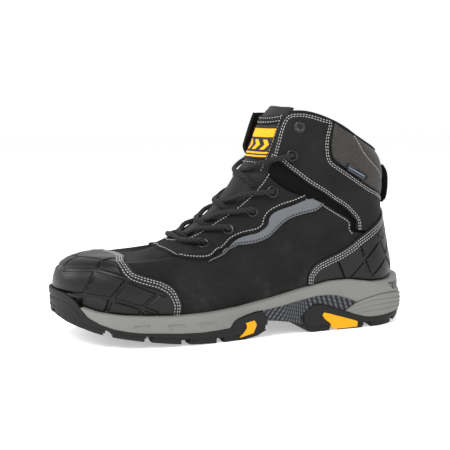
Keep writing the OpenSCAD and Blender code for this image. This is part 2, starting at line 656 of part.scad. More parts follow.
placed() outsole_forefoot();
placed() outsole_heel();
placed() arch_stabiliser();
placed() midsole();
placed() insert_forefoot_outer();
placed() insert_forefoot_inner();
placed() insert_heel_outer();
placed() insert_heel_inner();
placed() heel_clip();
placed() puncture_plate();
placed() insole_board();
placed() footbed();
placed() vamp();
placed() toe_cap();
placed() heel_counter();
placed() lining();
placed() toe_overlay();
placed() heel_overlay();
placed() eyestay();
placed() reflective_outer();
placed() reflective_inner();
placed() eyelets_lower();
placed() flex_gusset_outer();
placed() flex_gusset_inner();
placed() cuff_panel_outer();
placed() cuff_panel_inner();
placed() collar();
placed() cuff_lining();
placed() eyelets_upper();
placed() pull_tab();
placed() side_tag();
placed() tongue();
placed() tongue_patch();
placed() tongue_label();
placed() lace();
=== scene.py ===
# %% [markdown]
# # A steel toe work boot
# The CAD model gives every body, joint and size. This script keeps that frame and
# gives the boot its real surfaces: nubuck, moulded guards, foam, rubber, padded
# textile, thread and cord. Every length is in millimetres until the last step of a
# piece, where it becomes metres, because a boot is easier to think of in millimetres.

# %% Load the frame
import math
import bpy
import bmesh
import numpy as np
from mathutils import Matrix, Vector
from mathutils.kdtree import KDTree


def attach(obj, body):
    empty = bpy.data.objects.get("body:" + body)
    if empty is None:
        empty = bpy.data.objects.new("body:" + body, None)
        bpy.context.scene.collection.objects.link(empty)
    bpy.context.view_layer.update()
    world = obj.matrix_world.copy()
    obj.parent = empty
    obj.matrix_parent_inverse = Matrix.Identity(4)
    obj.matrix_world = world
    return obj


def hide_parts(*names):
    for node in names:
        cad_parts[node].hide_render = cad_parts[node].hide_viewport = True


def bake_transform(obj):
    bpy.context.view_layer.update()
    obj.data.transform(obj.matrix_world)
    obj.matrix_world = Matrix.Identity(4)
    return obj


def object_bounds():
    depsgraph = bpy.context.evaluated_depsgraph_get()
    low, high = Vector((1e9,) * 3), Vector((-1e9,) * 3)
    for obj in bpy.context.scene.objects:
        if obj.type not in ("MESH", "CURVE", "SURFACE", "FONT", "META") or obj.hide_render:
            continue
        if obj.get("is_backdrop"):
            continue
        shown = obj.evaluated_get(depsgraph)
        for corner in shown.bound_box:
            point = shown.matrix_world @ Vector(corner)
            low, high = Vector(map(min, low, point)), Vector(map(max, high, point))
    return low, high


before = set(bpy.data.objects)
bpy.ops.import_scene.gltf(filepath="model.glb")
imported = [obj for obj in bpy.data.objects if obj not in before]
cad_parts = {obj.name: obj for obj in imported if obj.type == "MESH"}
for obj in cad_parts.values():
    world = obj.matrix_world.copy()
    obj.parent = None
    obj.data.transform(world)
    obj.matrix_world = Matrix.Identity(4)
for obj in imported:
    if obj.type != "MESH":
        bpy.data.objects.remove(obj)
cad_low, cad_high = (Vector(corner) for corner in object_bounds())


def put(name, data):
    """A new object that shows some data."""
    thing = bpy.data.objects.new(name, data)
    bpy.context.collection.objects.link(thing)
    return thing


def look(thing, place, target):
    """Places a lamp or a camera and turns it to a target."""
    thing.location = place
    thing.rotation_mode = "QUATERNION"
    thing.rotation_quaternion = (Vector(target) - Vector(place)).to_track_quat("-Z", "Y")


# %% [markdown]
# ## Camera
# The boot is looked at from its outer side, a little from the front and a little
# from above, from about 0.9 m. A long lens keeps the sole's lines calm.

# %% Camera
TURN, DISTANCE, HEIGHT = math.radians(20), 0.86, 0.195
aim = Vector(((cad_low.x + cad_high.x) / 2 - 0.0073, -0.001, 0.462 * cad_high.z))
eye = Vector((aim.x - math.sin(TURN) * DISTANCE, aim.y - math.cos(TURN) * DISTANCE,
              HEIGHT))
camera = put("camera", bpy.data.cameras.new("camera"))
camera.data.lens = 81.87
look(camera, eye, aim)
bpy.context.scene.camera = camera
print("camera at", [round(c, 3) for c in eye])

# %% [markdown]
# ## Light and floor
# Black leather shows its shape only through broad, soft reflections. A large lamp
# high on the toe's side draws the light along the toe cap, a second one behind the
# heel parts the boot from the ground, and a pale room fills the rest.

# %% Light and floor
scene = bpy.context.scene
scene.view_settings.view_transform = "Standard"
world = bpy.data.worlds.new("room")
world.use_nodes = True
room = world.node_tree
sky = room.nodes["Background"]
sky.inputs["Color"].default_value = (1, 1, 1, 1)
height = room.nodes.new("ShaderNodeSeparateXYZ")
room.links.new(room.nodes.new("ShaderNodeTexCoord").outputs["Generated"],
               height.inputs[0])
fall = room.nodes.new("ShaderNodeMapRange")
for key, value in (("From Min", 0.1), ("From Max", 0.75), ("To Min", 1.02),
                   ("To Max", 0.5)):
    fall.inputs[key].default_value = value
room.links.new(height.outputs["Z"], fall.inputs["Value"])
room.links.new(fall.outputs[0], sky.inputs["Strength"])
scene.world = world


def lamp(name, place, size, power):
    """A square soft lamp that looks at the middle of the boot."""
    data = bpy.data.lights.new(name, "AREA")
    data.shape, data.size, data.energy = "SQUARE", size, power
    look(put(name, data), place, (0, 0, 0.08))


lamp("key_lamp", (-0.7, -0.45, 1.0), 0.6, 11)
lamp("side_lamp", (0.5, -1.1, 0.5), 0.7, 3)
lamp("rim_lamp", (0.8, 0.7, 0.8), 0.5, 6)
lamp("toe_lamp", (-1.0, 0.4, 0.6), 0.5, 6)

floor_mesh = bpy.data.meshes.new("floor")
floor_mesh.from_pydata([(-4, -4, 0), (4, -4, 0), (4, 4, 0), (-4, 4, 0)], [],
                       [(0, 1, 2, 3)])
floor = put("floor", floor_mesh)
floor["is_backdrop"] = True

# %% [markdown]
# ## A small language for materials
# Shader maths reads best as an expression. `Value` wraps one socket and turns
# `+ - * /` into Math nodes, and `Finish` holds one material: its `node` method adds
# any other node from its type, its settings and the values of its sockets.

# %% Shader language
class Value:
    """One socket of a material, which can be used in sums."""

    def __init__(self, finish, socket):
        self.finish, self.socket = finish, socket

    def maths(self, operation, first, second):
        return self.finish.node("ShaderNodeMath", {"operation": operation},
                                {0: first, 1: second})

    def __add__(self, other):
        return self.maths("ADD", self, other)

    def __sub__(self, other):
        return self.maths("SUBTRACT", self, other)

    def __mul__(self, other):
        return self.maths("MULTIPLY", self, other)

    def __truediv__(self, other):
        return self.maths("DIVIDE", self, other)

    def __rsub__(self, other):
        return self.maths("SUBTRACT", other, self)

    __radd__, __rmul__ = __add__, __mul__


class Finish:
    """One material, built node by node."""

    def __init__(self, name):
        self.material = bpy.data.materials.new(name)
        self.material.use_nodes = True
        self.tree = self.material.node_tree
        self.tree.nodes.clear()
        self.columns = 0

    def node(self, kind, settings=None, inputs=None, out=0):
        node = self.tree.nodes.new(kind)
        node.location = (180 * (self.columns // 6), -180 * (self.columns % 6))
        self.columns += 1
        for key, value in (settings or {}).items():
            if key == "stops":
                ramp = node.color_ramp.elements
                while len(ramp) > 1:
                    ramp.remove(ramp[-1])
                ramp[0].position, ramp[0].color = value[0]
                for position, colour in value[1:]:
                    ramp.new(position).color = colour
            else:
                setattr(node, key, value)
        for key, value in (inputs or {}).items():
            if isinstance(value, Value):
                self.tree.links.new(value.socket, node.inputs[key])
            else:
                node.inputs[key].default_value = value
        return Value(self, node.outputs[out]) if node.outputs else None

    def place(self, kind="Object"):
        return self.node("ShaderNodeTexCoord", out=kind)

    def axes(self, vector):
        x = self.node("ShaderNodeSeparateXYZ", inputs={0: vector}, out=0)
        node = x.socket.node
        return x, Value(self, node.outputs[1]), Value(self, node.outputs[2])

    def noise(self, vector, scale, detail=4.0, rough=0.55, stretch=None):
        if stretch:
            vector = self.node("ShaderNodeMapping", inputs={
                "Vector": vector, "Scale": stretch})
        return self.node("ShaderNodeTexNoise", inputs={
            "Vector": vector, "Scale": scale, "Detail": detail, "Roughness": rough})

    def cells(self, vector, scale, feature="F1"):
        return self.node("ShaderNodeTexVoronoi", {"feature": feature},
                         {"Vector": vector, "Scale": scale})

    def span(self, value, low, high, to_low=0.0, to_high=1.0, smooth=True):
        """value brought from low..high to to_low..to_high, and held there."""
        return self.node("ShaderNodeMapRange", {
            "interpolation_type": "SMOOTHSTEP" if smooth else "LINEAR",
            "clamp": True} if smooth else {"clamp": True}, {
            "Value": value, "From Min": low, "From Max": high,
            "To Min": to_low, "To Max": to_high})

    def wave(self, value, count):
        """A wave from 0 to 1 that comes round count times a unit."""
        turned = value * (count * 2 * math.pi)
        return self.node("ShaderNodeMath", {"operation": "SINE"},
                         {0: turned}) * 0.5 + 0.5

    def mix(self, share, first, second):
        return self.node("ShaderNodeMix", {"data_type": "RGBA"},
                         {0: share, 6: first, 7: second}, out=2)

    def bump(self, height, distance, strength=1.0, normal=None):
        inputs = {"Height": height, "Distance": distance, "Strength": strength}
        if normal is not None:
            inputs["Normal"] = normal
        return self.node("ShaderNodeBump", inputs=inputs)

    def surface(self, colour, roughness, normal=None, **constants):
        inputs = {"Base Color": colour, "Roughness": roughness}
        if normal is not None:
            inputs["Normal"] = normal
        for key, value in constants.items():
            inputs[key.replace("_", " ").title().replace("Ior", "IOR")] = value
        shader = self.node("ShaderNodeBsdfPrincipled", inputs=inputs)
        self.node("ShaderNodeOutputMaterial", inputs={"Surface": shader})
        return self.material


def grey(level, warm=0.0):
    """A plain dark or light colour, warmer where warm is above nought."""
    return (level * (1 + warm), level, level * (1 - warm), 1)


def shade(colour, factor):
    """A colour made darker or lighter, with its alpha."""
    return tuple(min(c * factor, 1) for c in colour) + (1,)


paper = Finish("floor_paper")
fleck = paper.noise(paper.place(), 3.0, 2.0)
floor.data.materials.append(paper.surface(
    paper.mix(fleck, grey(0.93), grey(0.95)), 0.9, specular_ior_level=0.1,
    emission_color=grey(1.0), emission_strength=0.4))
print("shader language ready")

# %% [markdown]
# ## Finishes
# Each finish follows how its stuff is made. Nubuck is sanded leather: its nap
# catches light in soft clouds, and handling leaves paler rubs. The guards are
# injection moulded, so they have a fine even spark and a satin shine.

# %% Leather
def nubuck(name, level=0.0095):
    f = Finish(name)
    p = f.place()
    clouds = f.noise(p, 34, 5, 0.62)
    rubs = f.span(f.noise(p, 15, 7, 0.72), 0.5, 0.72)
    nap = f.noise(p, 900, 3, 0.7)
    grain = f.cells(p, 1500)
    colour = f.mix(clouds, grey(level * 0.72, 0.0), grey(level * 1.35, 0.02))
    low_down = f.span(f.axes(p)[2], 0.03, 0.11, 1.0, 0.25)
    colour = f.mix(rubs * low_down * 0.85, colour, grey(level * 4.2, 0.03))
    colour = f.mix(f.span(nap, 0.35, 0.7) * 0.35, colour, grey(level * 2.2, 0.02))
    height = nap * 0.6 + grain * 0.4 + clouds * 1.2
    return f.surface(colour, f.span(clouds, 0.3, 0.7, 0.92, 0.74),
                     f.bump(height, 0.00035, 0.5),
                     sheen_weight=0.03, sheen_roughness=0.45,
                     specular_ior_level=0.13)


LEATHER = nubuck("nubuck")
STAY_LEATHER = nubuck("nubuck_stay", 0.0085)
print("leather made")

# %% Moulded, rubber and foam finishes
def moulded(name, level, rough, spark=0.00006, tint=(1, 1, 1.06), shine=0.35):
    f = Finish(name)
    p = f.place()
    cloud = f.noise(p, 22, 3)
    fine = f.noise(p, 2600, 2, 0.6)
    scuff = f.span(f.noise(p, 60, 6, 0.75, (1, 1, 3)), 0.6, 0.8)
    colour = f.mix(cloud * 0.5 + scuff * 0.3, shade(tint, level), shade(tint, level * 1.7))
    return f.surface(colour, f.span(cloud + scuff * 0.4, 0.3, 0.9, rough, rough + 0.12),
                     f.bump(fine, spark, 0.6), specular_ior_level=shine)


GUARD = moulded("guard_moulded", 0.0045, 0.36, shine=0.26)
RUBBER = moulded("rubber", 0.0095, 0.55, 0.00012, (1.03, 1, 0.98), 0.2)
YELLOW = Finish("yellow_moulded")
p = YELLOW.place()
YELLOW = YELLOW.surface(
    YELLOW.mix(YELLOW.noise(p, 90, 4), (0.72, 0.33, 0.002, 1), (0.8, 0.38, 0.003, 1)),
    0.45, YELLOW.bump(YELLOW.noise(p, 2200, 2), 0.00006, 0.5), specular_ior_level=0.2)


def foam(name, level=0.185):
    f = Finish(name)
    p = f.place()
    cloud = f.noise(p, 26, 4)
    pores = f.noise(p, 1500, 3, 0.7)
    dust = f.span(f.noise(p, 45, 6, 0.7, (0.5, 0.5, 2)), 0.5, 0.8)
    colour = f.mix(cloud, shade((0.9, 0.92, 0.87), level), shade((1.12, 1.13, 1.06), level))
    colour = f.mix(dust * 0.25, colour, shade((0.6, 0.6, 0.56), level))
    return f.surface(colour, 0.68, f.bump(pores, 0.00012, 0.5),
                     specular_ior_level=0.2)


FOAM = foam("foam_grey")


def ribbed(name):
    """Slanting pale ribs on a dark plate, which stand up straighter to the rear."""
    f = Finish(name)
    x, y, z = f.axes(f.place())
    lean = f.span(x, 0.028, 0.05, 0.85, -0.35)
    rib = f.span(f.wave(x - z * lean, 215), 0.38, 0.62)
    notch = f.span(f.wave(z + x * 0.25, 300), 0.1, 0.3)
    both = rib * (0.35 + notch * 0.65)
    colour = f.mix(both, (0.006, 0.0065, 0.008, 1), (0.085, 0.092, 0.108, 1))
    return f.surface(colour, f.span(rib, 0, 1, 0.6, 0.42), f.bump(both, 0.0006, 0.8),
                     specular_ior_level=0.3)


RIBBED = ribbed("stabiliser_ribs")
print("moulded finishes made")

# %% [markdown]
# Textiles are made of threads, so their bump and colour come from the piece's own
# unwrapped length and width, in metres, which lets a weave turn with the strap.

# %% Textiles
def woven(name, level, warm, across, along, depth=0.00025, sheen=0.25, rough=0.9):
    f = Finish(name)
    u, v, _ = f.axes(f.place("UV"))
    p = f.place()
    one = f.wave(u, along)
    two = f.wave(v, across)
    weave = one * two + (1 - one) * (1 - two)
    fuzz = f.noise(p, 1400, 3, 0.7)
    cloud = f.noise(p, 30, 4, 0.6)
    shade = weave * 0.5 + fuzz * 0.3 + cloud * 0.3
    colour = f.mix(shade, grey(level * 0.5, warm), grey(level * 1.5, warm))
    return f.surface(colour, rough, f.bump(weave * 0.7 + fuzz * 0.5, depth, 0.7),
                     sheen_weight=sheen, sheen_roughness=0.5,
                     specular_ior_level=0.12)


def brushed(name, level, warm, sheen=0.35):
    f = Finish(name)
    p = f.place()
    cloud = f.noise(p, 40, 5, 0.65)
    hair = f.noise(p, 900, 4, 0.75, (0.5, 1, 1.6))
    pill = f.span(f.noise(p, 320, 3, 0.6), 0.45, 0.75)
    colour = f.mix(cloud * 0.45 + hair * 0.55, grey(level * 0.45, warm),
                   grey(level * 1.6, warm))
    colour = f.mix(pill * 0.3, colour, grey(level * 1.9, warm))
    return f.surface(colour, 0.95, f.bump(hair * 0.8 + pill * 0.5, 0.0005, 0.7),
                     sheen_weight=sheen, sheen_roughness=0.5,
                     specular_ior_level=0.1)


COLLAR_CLOTH = brushed("collar_cloth", 0.04, 0.07, 0.12)
TONGUE_CLOTH = woven("tongue_cloth", 0.021, 0.03, 900, 900, sheen=0.12)
LINING_CLOTH = woven("lining_cloth", 0.03, -0.03, 600, 600, 0.0004)
GUSSET_CLOTH = woven("gusset_cloth", 0.0032, 0.0, 800, 800, 0.0002, 0.0)
WEBBING = woven("webbing", 0.011, 0.0, 420, 700, 0.0004, 0.02)
FOOTBED_CLOTH = woven("footbed_cloth", 0.05, -0.04, 500, 500, 0.0003)
BINDING = woven("binding_tape", 0.009, 0.0, 900, 1200, 0.0002, 0.03)


def thread(name, level, warm=0.02):
    f = Finish(name)
    twist = f.noise(f.place(), 2600, 2, 0.6)
    return f.surface(f.mix(twist, grey(level * 0.7, warm), grey(level * 1.15, warm)),
                     0.7, f.bump(twist, 0.0001, 0.5), specular_ior_level=0.3)


PALE_THREAD = thread("thread_pale", 0.42)
DARK_THREAD = thread("thread_dark", 0.004, 0.0)


def beaded(name):
    """Reflective fabric: grey glass beads on a smooth film."""
    f = Finish(name)
    p = f.place()
    beads = f.cells(p, 2200)
    cloud = f.noise(p, 40, 4)
    colour = f.mix(cloud * 0.6 + beads * 0.3, (0.075, 0.082, 0.09, 1),
                   (0.135, 0.143, 0.153, 1))
    return f.surface(colour, 0.5, f.bump(beads, 0.00008, 0.5), specular_ior_level=0.4)


REFLECTIVE = beaded("reflective_film")


def braid(name):
    """A round braid: two sets of strands that run round it in opposite turns."""
    f = Finish(name)
    u, v, _ = f.axes(f.place("UV"))
    one = f.wave(u * 260 + v * 4, 1)
    two = f.wave(u * 260 - v * 4, 1)
    strands = one * two
    fuzz = f.noise(f.place(), 1800, 3, 0.7)
    colour = f.mix(strands * 0.7 + fuzz * 0.3, grey(0.005), grey(0.034))
    return f.surface(colour, 0.85, f.bump(strands + fuzz * 0.3, 0.0004, 0.8),
                     sheen_weight=0.05, sheen_roughness=0.5, specular_ior_level=0.22)


LACE_CORD = braid("lace_braid")


def metal(name, colour, rough, metallic=1.0, coat=0.0):
    f = Finish(name)
    p = f.place()
    wear = f.noise(p, 240, 4)
    return f.surface(f.mix(wear, shade(colour, 0.8), shade(colour, 1.2)),
                     f.span(wear, 0.2, 0.8, rough, rough + 0.12),
                     f.bump(f.noise(p, 1500, 2), 0.00003, 0.4), metallic=metallic,
                     coat_weight=coat, coat_roughness=0.15)


EYELET = metal("eyelet_lacquer", (0.022, 0.023, 0.025), 0.24, 0.6, 0.25)
STEEL = metal("steel", (0.5, 0.5, 0.52), 0.35)


def fibre(name, colour):
    f = Finish(name)
    p = f.place()
    chips = f.noise(p, 700, 5, 0.7, (1, 2.5, 1))
    return f.surface(f.mix(chips, shade(colour, 0.7), shade(colour, 1.2)), 0.9,
                     f.bump(chips, 0.0002, 0.6))


BOARD = fibre("fibre_board", (0.45, 0.35, 0.25))
COUNTER = fibre("counter_board", (0.5, 0.42, 0.32))
print("textiles, metals and boards made")

# %% [markdown]
# ## The surface everything is built on
# The CAD describes the outside of the leather by an angle (0 at the toe, 90 on the
# outer side, 180 at the heel) and a ring number (0 at the sole, 8 at the top line).
# The same rule is repeated here, because seams and panels have to lie exactly on
# that surface; only the vamp's shoulder starts a little softer, and the print compares
# the result with the CAD leather.

# %% The boot's surface
CENTRE = np.array([0.4, -1.0, 0.0])
# A ring's columns: x and z of its front and of its back, how long its front and its
# back are rounded, its half width at the ball, the middle and the heel, and its hump.
RINGS = np.array([
    [-147, 25, 142, 27, 58, 38, 48, 37, 34, -10],
    [-151, 46, 144, 48, 60, 38, 50, 39, 36, -4],
    [-145, 60.5, 141, 66, 58, 38, 45, 38, 35, -1],
    [-128, 66, 138.5, 80, 62, 38, 38, 37, 34, 0],
    [-88, 66.5, 136.5, 92, 72, 38, 35, 36, 33, 0],
    [-50, 80.7, 136, 104, 72, 40, 33, 35, 33, 0],
    [-16, 107, 136, 117, 66, 42, 32, 35, 34, 0],
    [8, 142, 135, 132, 56, 44, 34, 37, 36, 1],
    [25, 180, 131, 150, 46, 46, 35, 40, 38, 11]], float)
SHOULDER = 3.2   # how far the sides of the vamp fall away behind the toe cap


def ease(x):
    x = np.clip(x, 0, 1)
    return x * x * (3 - 2 * x)


def through(rows, place):
    """Catmull-Rom: the rows' curve at a place counted in rows."""
    rows = np.asarray(rows, float)
    ghosts = np.vstack([2 * rows[0] - rows[1], rows, 2 * rows[-1] - rows[-2]])
    place = np.asarray(place, float)
    i = np.clip(np.floor(place).astype(int), 0, len(rows) - 2)
    t = (place - i)[..., None]
    a, b, c, d = (ghosts[i + j] for j in range(4))
    return 0.5 * (2 * b + (c - a) * t + (2 * a - 5 * b + 4 * c - d) * t ** 2
                  + (3 * b - a - 3 * c + d) * t ** 3)


def skin(phi, k):
    """The outside of the leather, in millimetres, without the frame's shift."""
    phi, k = np.broadcast_arrays(np.asarray(phi, float), np.asarray(k, float))
    r = through(RINGS, k)
    turn = np.radians(phi)
    s = (1 - np.cos(turn)) / 2
    run = np.hypot(r[..., 2] - r[..., 0], r[..., 3] - r[..., 1])
    nose = np.sqrt(np.maximum(1 - (1 - np.minimum(s * run / r[..., 4], 1)) ** 2, 0))
    heel = np.sqrt(np.maximum(
        1 - (1 - np.minimum((1 - s) * run / r[..., 5], 1)) ** 2, 0))
    fore = r[..., 6] + (r[..., 7] - r[..., 6]) * ease((s - 0.3) / 0.28)
    half = fore + (r[..., 8] - fore) * ease((s - 0.56) / 0.26)
    low = 1 - ease(k / 8)
    swing = low * (7 * (1 - s) ** 2 - 4 * np.sin(np.pi * s ** 0.8) ** 2)
    hump = np.sin(np.pi * s ** 0.6) ** 2
    drop = (SHOULDER * ease((k - 2.5) / 0.9) * ease((5.3 - k) / 0.9)
            * ease(s / 0.12) * ease((0.34 - s) / 0.24))
    away = np.where(np.sin(turn) >= 0, -1.0, 1.0)
    return np.stack([r[..., 0] + s * (r[..., 2] - r[..., 0]),
                     away * half * nose * heel + swing,
                     r[..., 1] + s * (r[..., 3] - r[..., 1]) + r[..., 9] * hump - drop],
                    -1)


def unit(v):
    return v / np.maximum(np.linalg.norm(v, axis=-1, keepdims=True), 1e-9)


def skin_normal(phi, k):
    phi, k = np.broadcast_arrays(np.asarray(phi, float), np.asarray(k, float))
    return unit(np.cross(skin(phi + 0.7, k) - skin(phi - 0.7, k),
                         skin(phi, k + 0.02) - skin(phi, k - 0.02)))


def upper(phi, k, out):
    """A point of the upper, out millimetres outside the leather."""
    return skin(phi, k) + np.asarray(out, float)[..., None] * skin_normal(phi, k)


def tree_of(points):
    """A tree that finds the nearest of some points."""
    tree = KDTree(len(points))
    for i, co in enumerate(points):
        tree.insert(Vector(co), i)
    tree.balance()
    return tree


near_cad = tree_of([v.co * 1000 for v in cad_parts["vamp"].data.vertices])
probe = upper(np.array([40.0, 90, 150]), np.array([1.0, 2, 1.5]), 0) + CENTRE
print("leather surface is within",
      max(round(near_cad.find(Vector(q))[2], 1) for q in probe), "mm of a CAD corner")

# %% [markdown]
# The sole's side wall has its own rule: it stands upright on an outline that runs a
# few millimetres outside the upper, so a point of it is an angle and a height.

# %% The sole's wall
FLANGE, HEEL_REACH = 4.3, 6.2


def wall(phi, z, out):
    """A point of the sole's side, out millimetres outside the CAD wall."""
    phi, z = np.broadcast_arrays(np.asarray(phi, float), np.asarray(z, float))
    p, n = skin(phi, np.ones_like(phi)), skin_normal(phi, np.ones_like(phi))
    flat = unit(n * np.array([1, 1, 0]))
    reach = FLANGE + HEEL_REACH * ease((180 - np.abs(180 - phi % 360) - 140) / 40)
    p = p + flat * (reach + np.asarray(out, float))[..., None]
    p[..., 2] = z
    return p


turns = np.linspace(0, 180, 1801)
reach_x = wall(turns, 0 * turns, 0 * turns)[:, 0]


def from_side(points):
    """Points drawn in the side view, x and z, as angle and height on the wall."""
    return [(float(np.interp(x, reach_x, turns)), z) for x, z in points]


print("sole outline runs from", round(reach_x[0], 1), "to", round(reach_x[-1], 1), "mm")

# %% [markdown]
# ## Panels
# Nearly every part of a shoe is a flat piece cut between two curves and stretched
# over the last. `panel` does the same: it spreads a fine grid between two curves,
# rolls its edges over, presses grooves where seams pull it down, and closes it
# underneath. A lofted grid was chosen over a remesh because its rows follow the
# seams, so stitches and edges stay crisp.

# %% Curves
def curve_at(points, share):
    """A smooth curve through chart points at shares 0..1 of its control points."""
    return through(points, np.asarray(share, float) * (len(points) - 1))


def lengths(xyz):
    steps = np.linalg.norm(np.diff(xyz, axis=0), axis=1)
    return np.concatenate([[0], np.cumsum(steps)])


def even_shares(points, surface, step):
    """Shares along a curve that lie about step millimetres apart on a surface."""
    dense = np.linspace(0, 1, 40 * len(points))
    q = curve_at(points, dense)
    run = lengths(surface(q[:, 0], q[:, 1], 0 * dense))
    count = max(int(round(run[-1] / step)), 2)
    return np.interp(np.linspace(0, run[-1], count + 1), run, dense)


def trace(points, surface=upper, step=1.0, inset=0.0):
    """Chart points along a curve, moved inset millimetres to its left on the surface."""
    share = even_shares(points, surface, step)
    q = curve_at(points, share)
    if inset:
        zero = np.zeros(len(q))
        p = surface(q[:, 0], q[:, 1], zero)
        ahead = unit(np.gradient(p, axis=0))
        d_phi = (surface(q[:, 0] + 0.4, q[:, 1], zero)
                 - surface(q[:, 0] - 0.4, q[:, 1], zero)) / 0.8
        h = 0.02 if surface is upper else 0.4
        d_k = (surface(q[:, 0], q[:, 1] + h, zero)
               - surface(q[:, 0], q[:, 1] - h, zero)) / (2 * h)
        left = unit(np.cross(unit(np.cross(d_phi, d_k)), ahead)) * inset
        base = np.stack([d_phi, d_k], -1)
        gram = np.einsum("nij,nik->njk", base, base)
        along = np.einsum("nij,ni->nj", base, left)[..., None]
        q = q + np.linalg.solve(gram, along)[..., 0]
    return q


def flipped(points):
    """The same curve on the inner side."""
    return [(-a, b) for a, b in points][::-1]


def both_front(points):
    return flipped(points)[:-1] + list(points)


def both_back(points):
    return list(points) + [(360 - a, b) for a, b in points[-2::-1]]


def turned(points, turn):
    """A curve as it is for the outer side, or its mirror for the inner side."""
    return points if turn > 0 else flipped(points)


def both(*curves):
    """Traced curves, each with its mirror on the inner side."""
    return [q * np.array(m) for q in curves for m in ([1, 1], [-1, 1])]


def both_heel(*curves):
    """Traced curves, each with its mirror that meets it at the heel."""
    return [c for q in curves for c in (q, q * [-1, 1] + [360, 0])]


SIDES = (("outer", 1), ("inner", -1))

print("curve helpers ready")

# %% Panel builder
pieces = {}
HOLE = 2.7


def finished(name, mesh, body):
    """The piece that shows a finished mesh, on its body, with its material slot."""
    piece = put(name, mesh)
    if body:
        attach(piece, body)
    pieces[name] = piece
    return piece


def add_mesh(name, points, faces, finish, body, uv=None, sharp=50):
    """A finished piece: its mesh in metres in the frame, riding on its body."""
    mesh = bpy.data.meshes.new(name)
    mesh.from_pydata((np.asarray(points) / 1000).tolist(), [], faces)
    if uv is not None:
        layer = mesh.uv_layers.new(name="UVMap")
        corners = np.zeros(len(mesh.loops), int)
        mesh.loops.foreach_get("vertex_index", corners)
        layer.data.foreach_set("uv", (np.asarray(uv)[corners] / 1000).ravel())
    bm = bmesh.new()
    bm.from_mesh(mesh)
    if bm.calc_volume(signed=True) < 0:
        bmesh.ops.reverse_faces(bm, faces=bm.faces)
    bm.to_mesh(mesh)
    bm.free()
    mesh.shade_smooth()
    mesh.set_sharp_from_angle(angle=math.radians(sharp))
    mesh.materials.append(finish)
    return finished(name, mesh, body)


def nearness(points, curves):
    """Each point's distance to the nearest of some curves, in millimetres."""
    near = tree_of(np.vstack(curves))
    found = np.array([near.find(Vector(q))[2] for q in points.reshape(-1, 3)])
    return found.reshape(points.shape[:-1])


def edge_shares(width, edge, rows):
    """Shares across a panel: close together at both edges, even between."""
    near = np.array([0, 0.12, 0.35, 0.65, 1.0]) * edge
    near = np.minimum(near[None, :] / width[:, None], np.linspace(0, 0.3, 5)[None, :])
    middle = np.linspace(0, 1, rows)[None, 1:-1]
    inner = near[:, -1:] + (1 - 2 * near[:, -1:]) * middle
    return np.hstack([near, inner, 1 - near[:, ::-1]])


def grid_faces(n, m, start=0, turn=False):
    i, j = np.meshgrid(np.arange(n - 1), np.arange(m - 1), indexing="ij")
    a = start + i * m + j
    quad = np.stack([a, a + m, a + m + 1, a + 1], -1).reshape(-1, 4)
    return (quad[:, ::-1] if turn else quad).tolist()


def shell_faces(n, m, gone=None):
    """Faces of a closed shell: an outer grid, an inner grid and a wall between.
    gone marks cells that are left out, as round an eyelet, and their walls."""
    size = n * m
    outer = np.array(grid_faces(n, m)).reshape(n - 1, m - 1, 4)
    gone = np.zeros((n - 1, m - 1), bool) if gone is None else gone
    faces = outer[~gone].tolist() + (outer[~gone] + size)[:, ::-1].tolist()
    for i, j in zip(*np.nonzero(gone)):
        a, b, c, d = (int(v) for v in outer[i, j])
        for p, q, (x, y) in ((a, b, (i, j - 1)), (b, c, (i + 1, j)),
                             (c, d, (i, j + 1)), (d, a, (i - 1, j))):
            if not gone[x, y]:
                faces.append([p, q, q + size, p + size])
    loop = ([i * m for i in range(n)] + [(n - 1) * m + j for j in range(1, m)]
            + [i * m + m - 1 for i in range(n - 2, -1, -1)]
            + [j for j in range(m - 2, 0, -1)])
    for a, b in zip(loop, loop[1:] + loop[:1]):
        faces.append([b, a, size + a, size + b])
    return faces


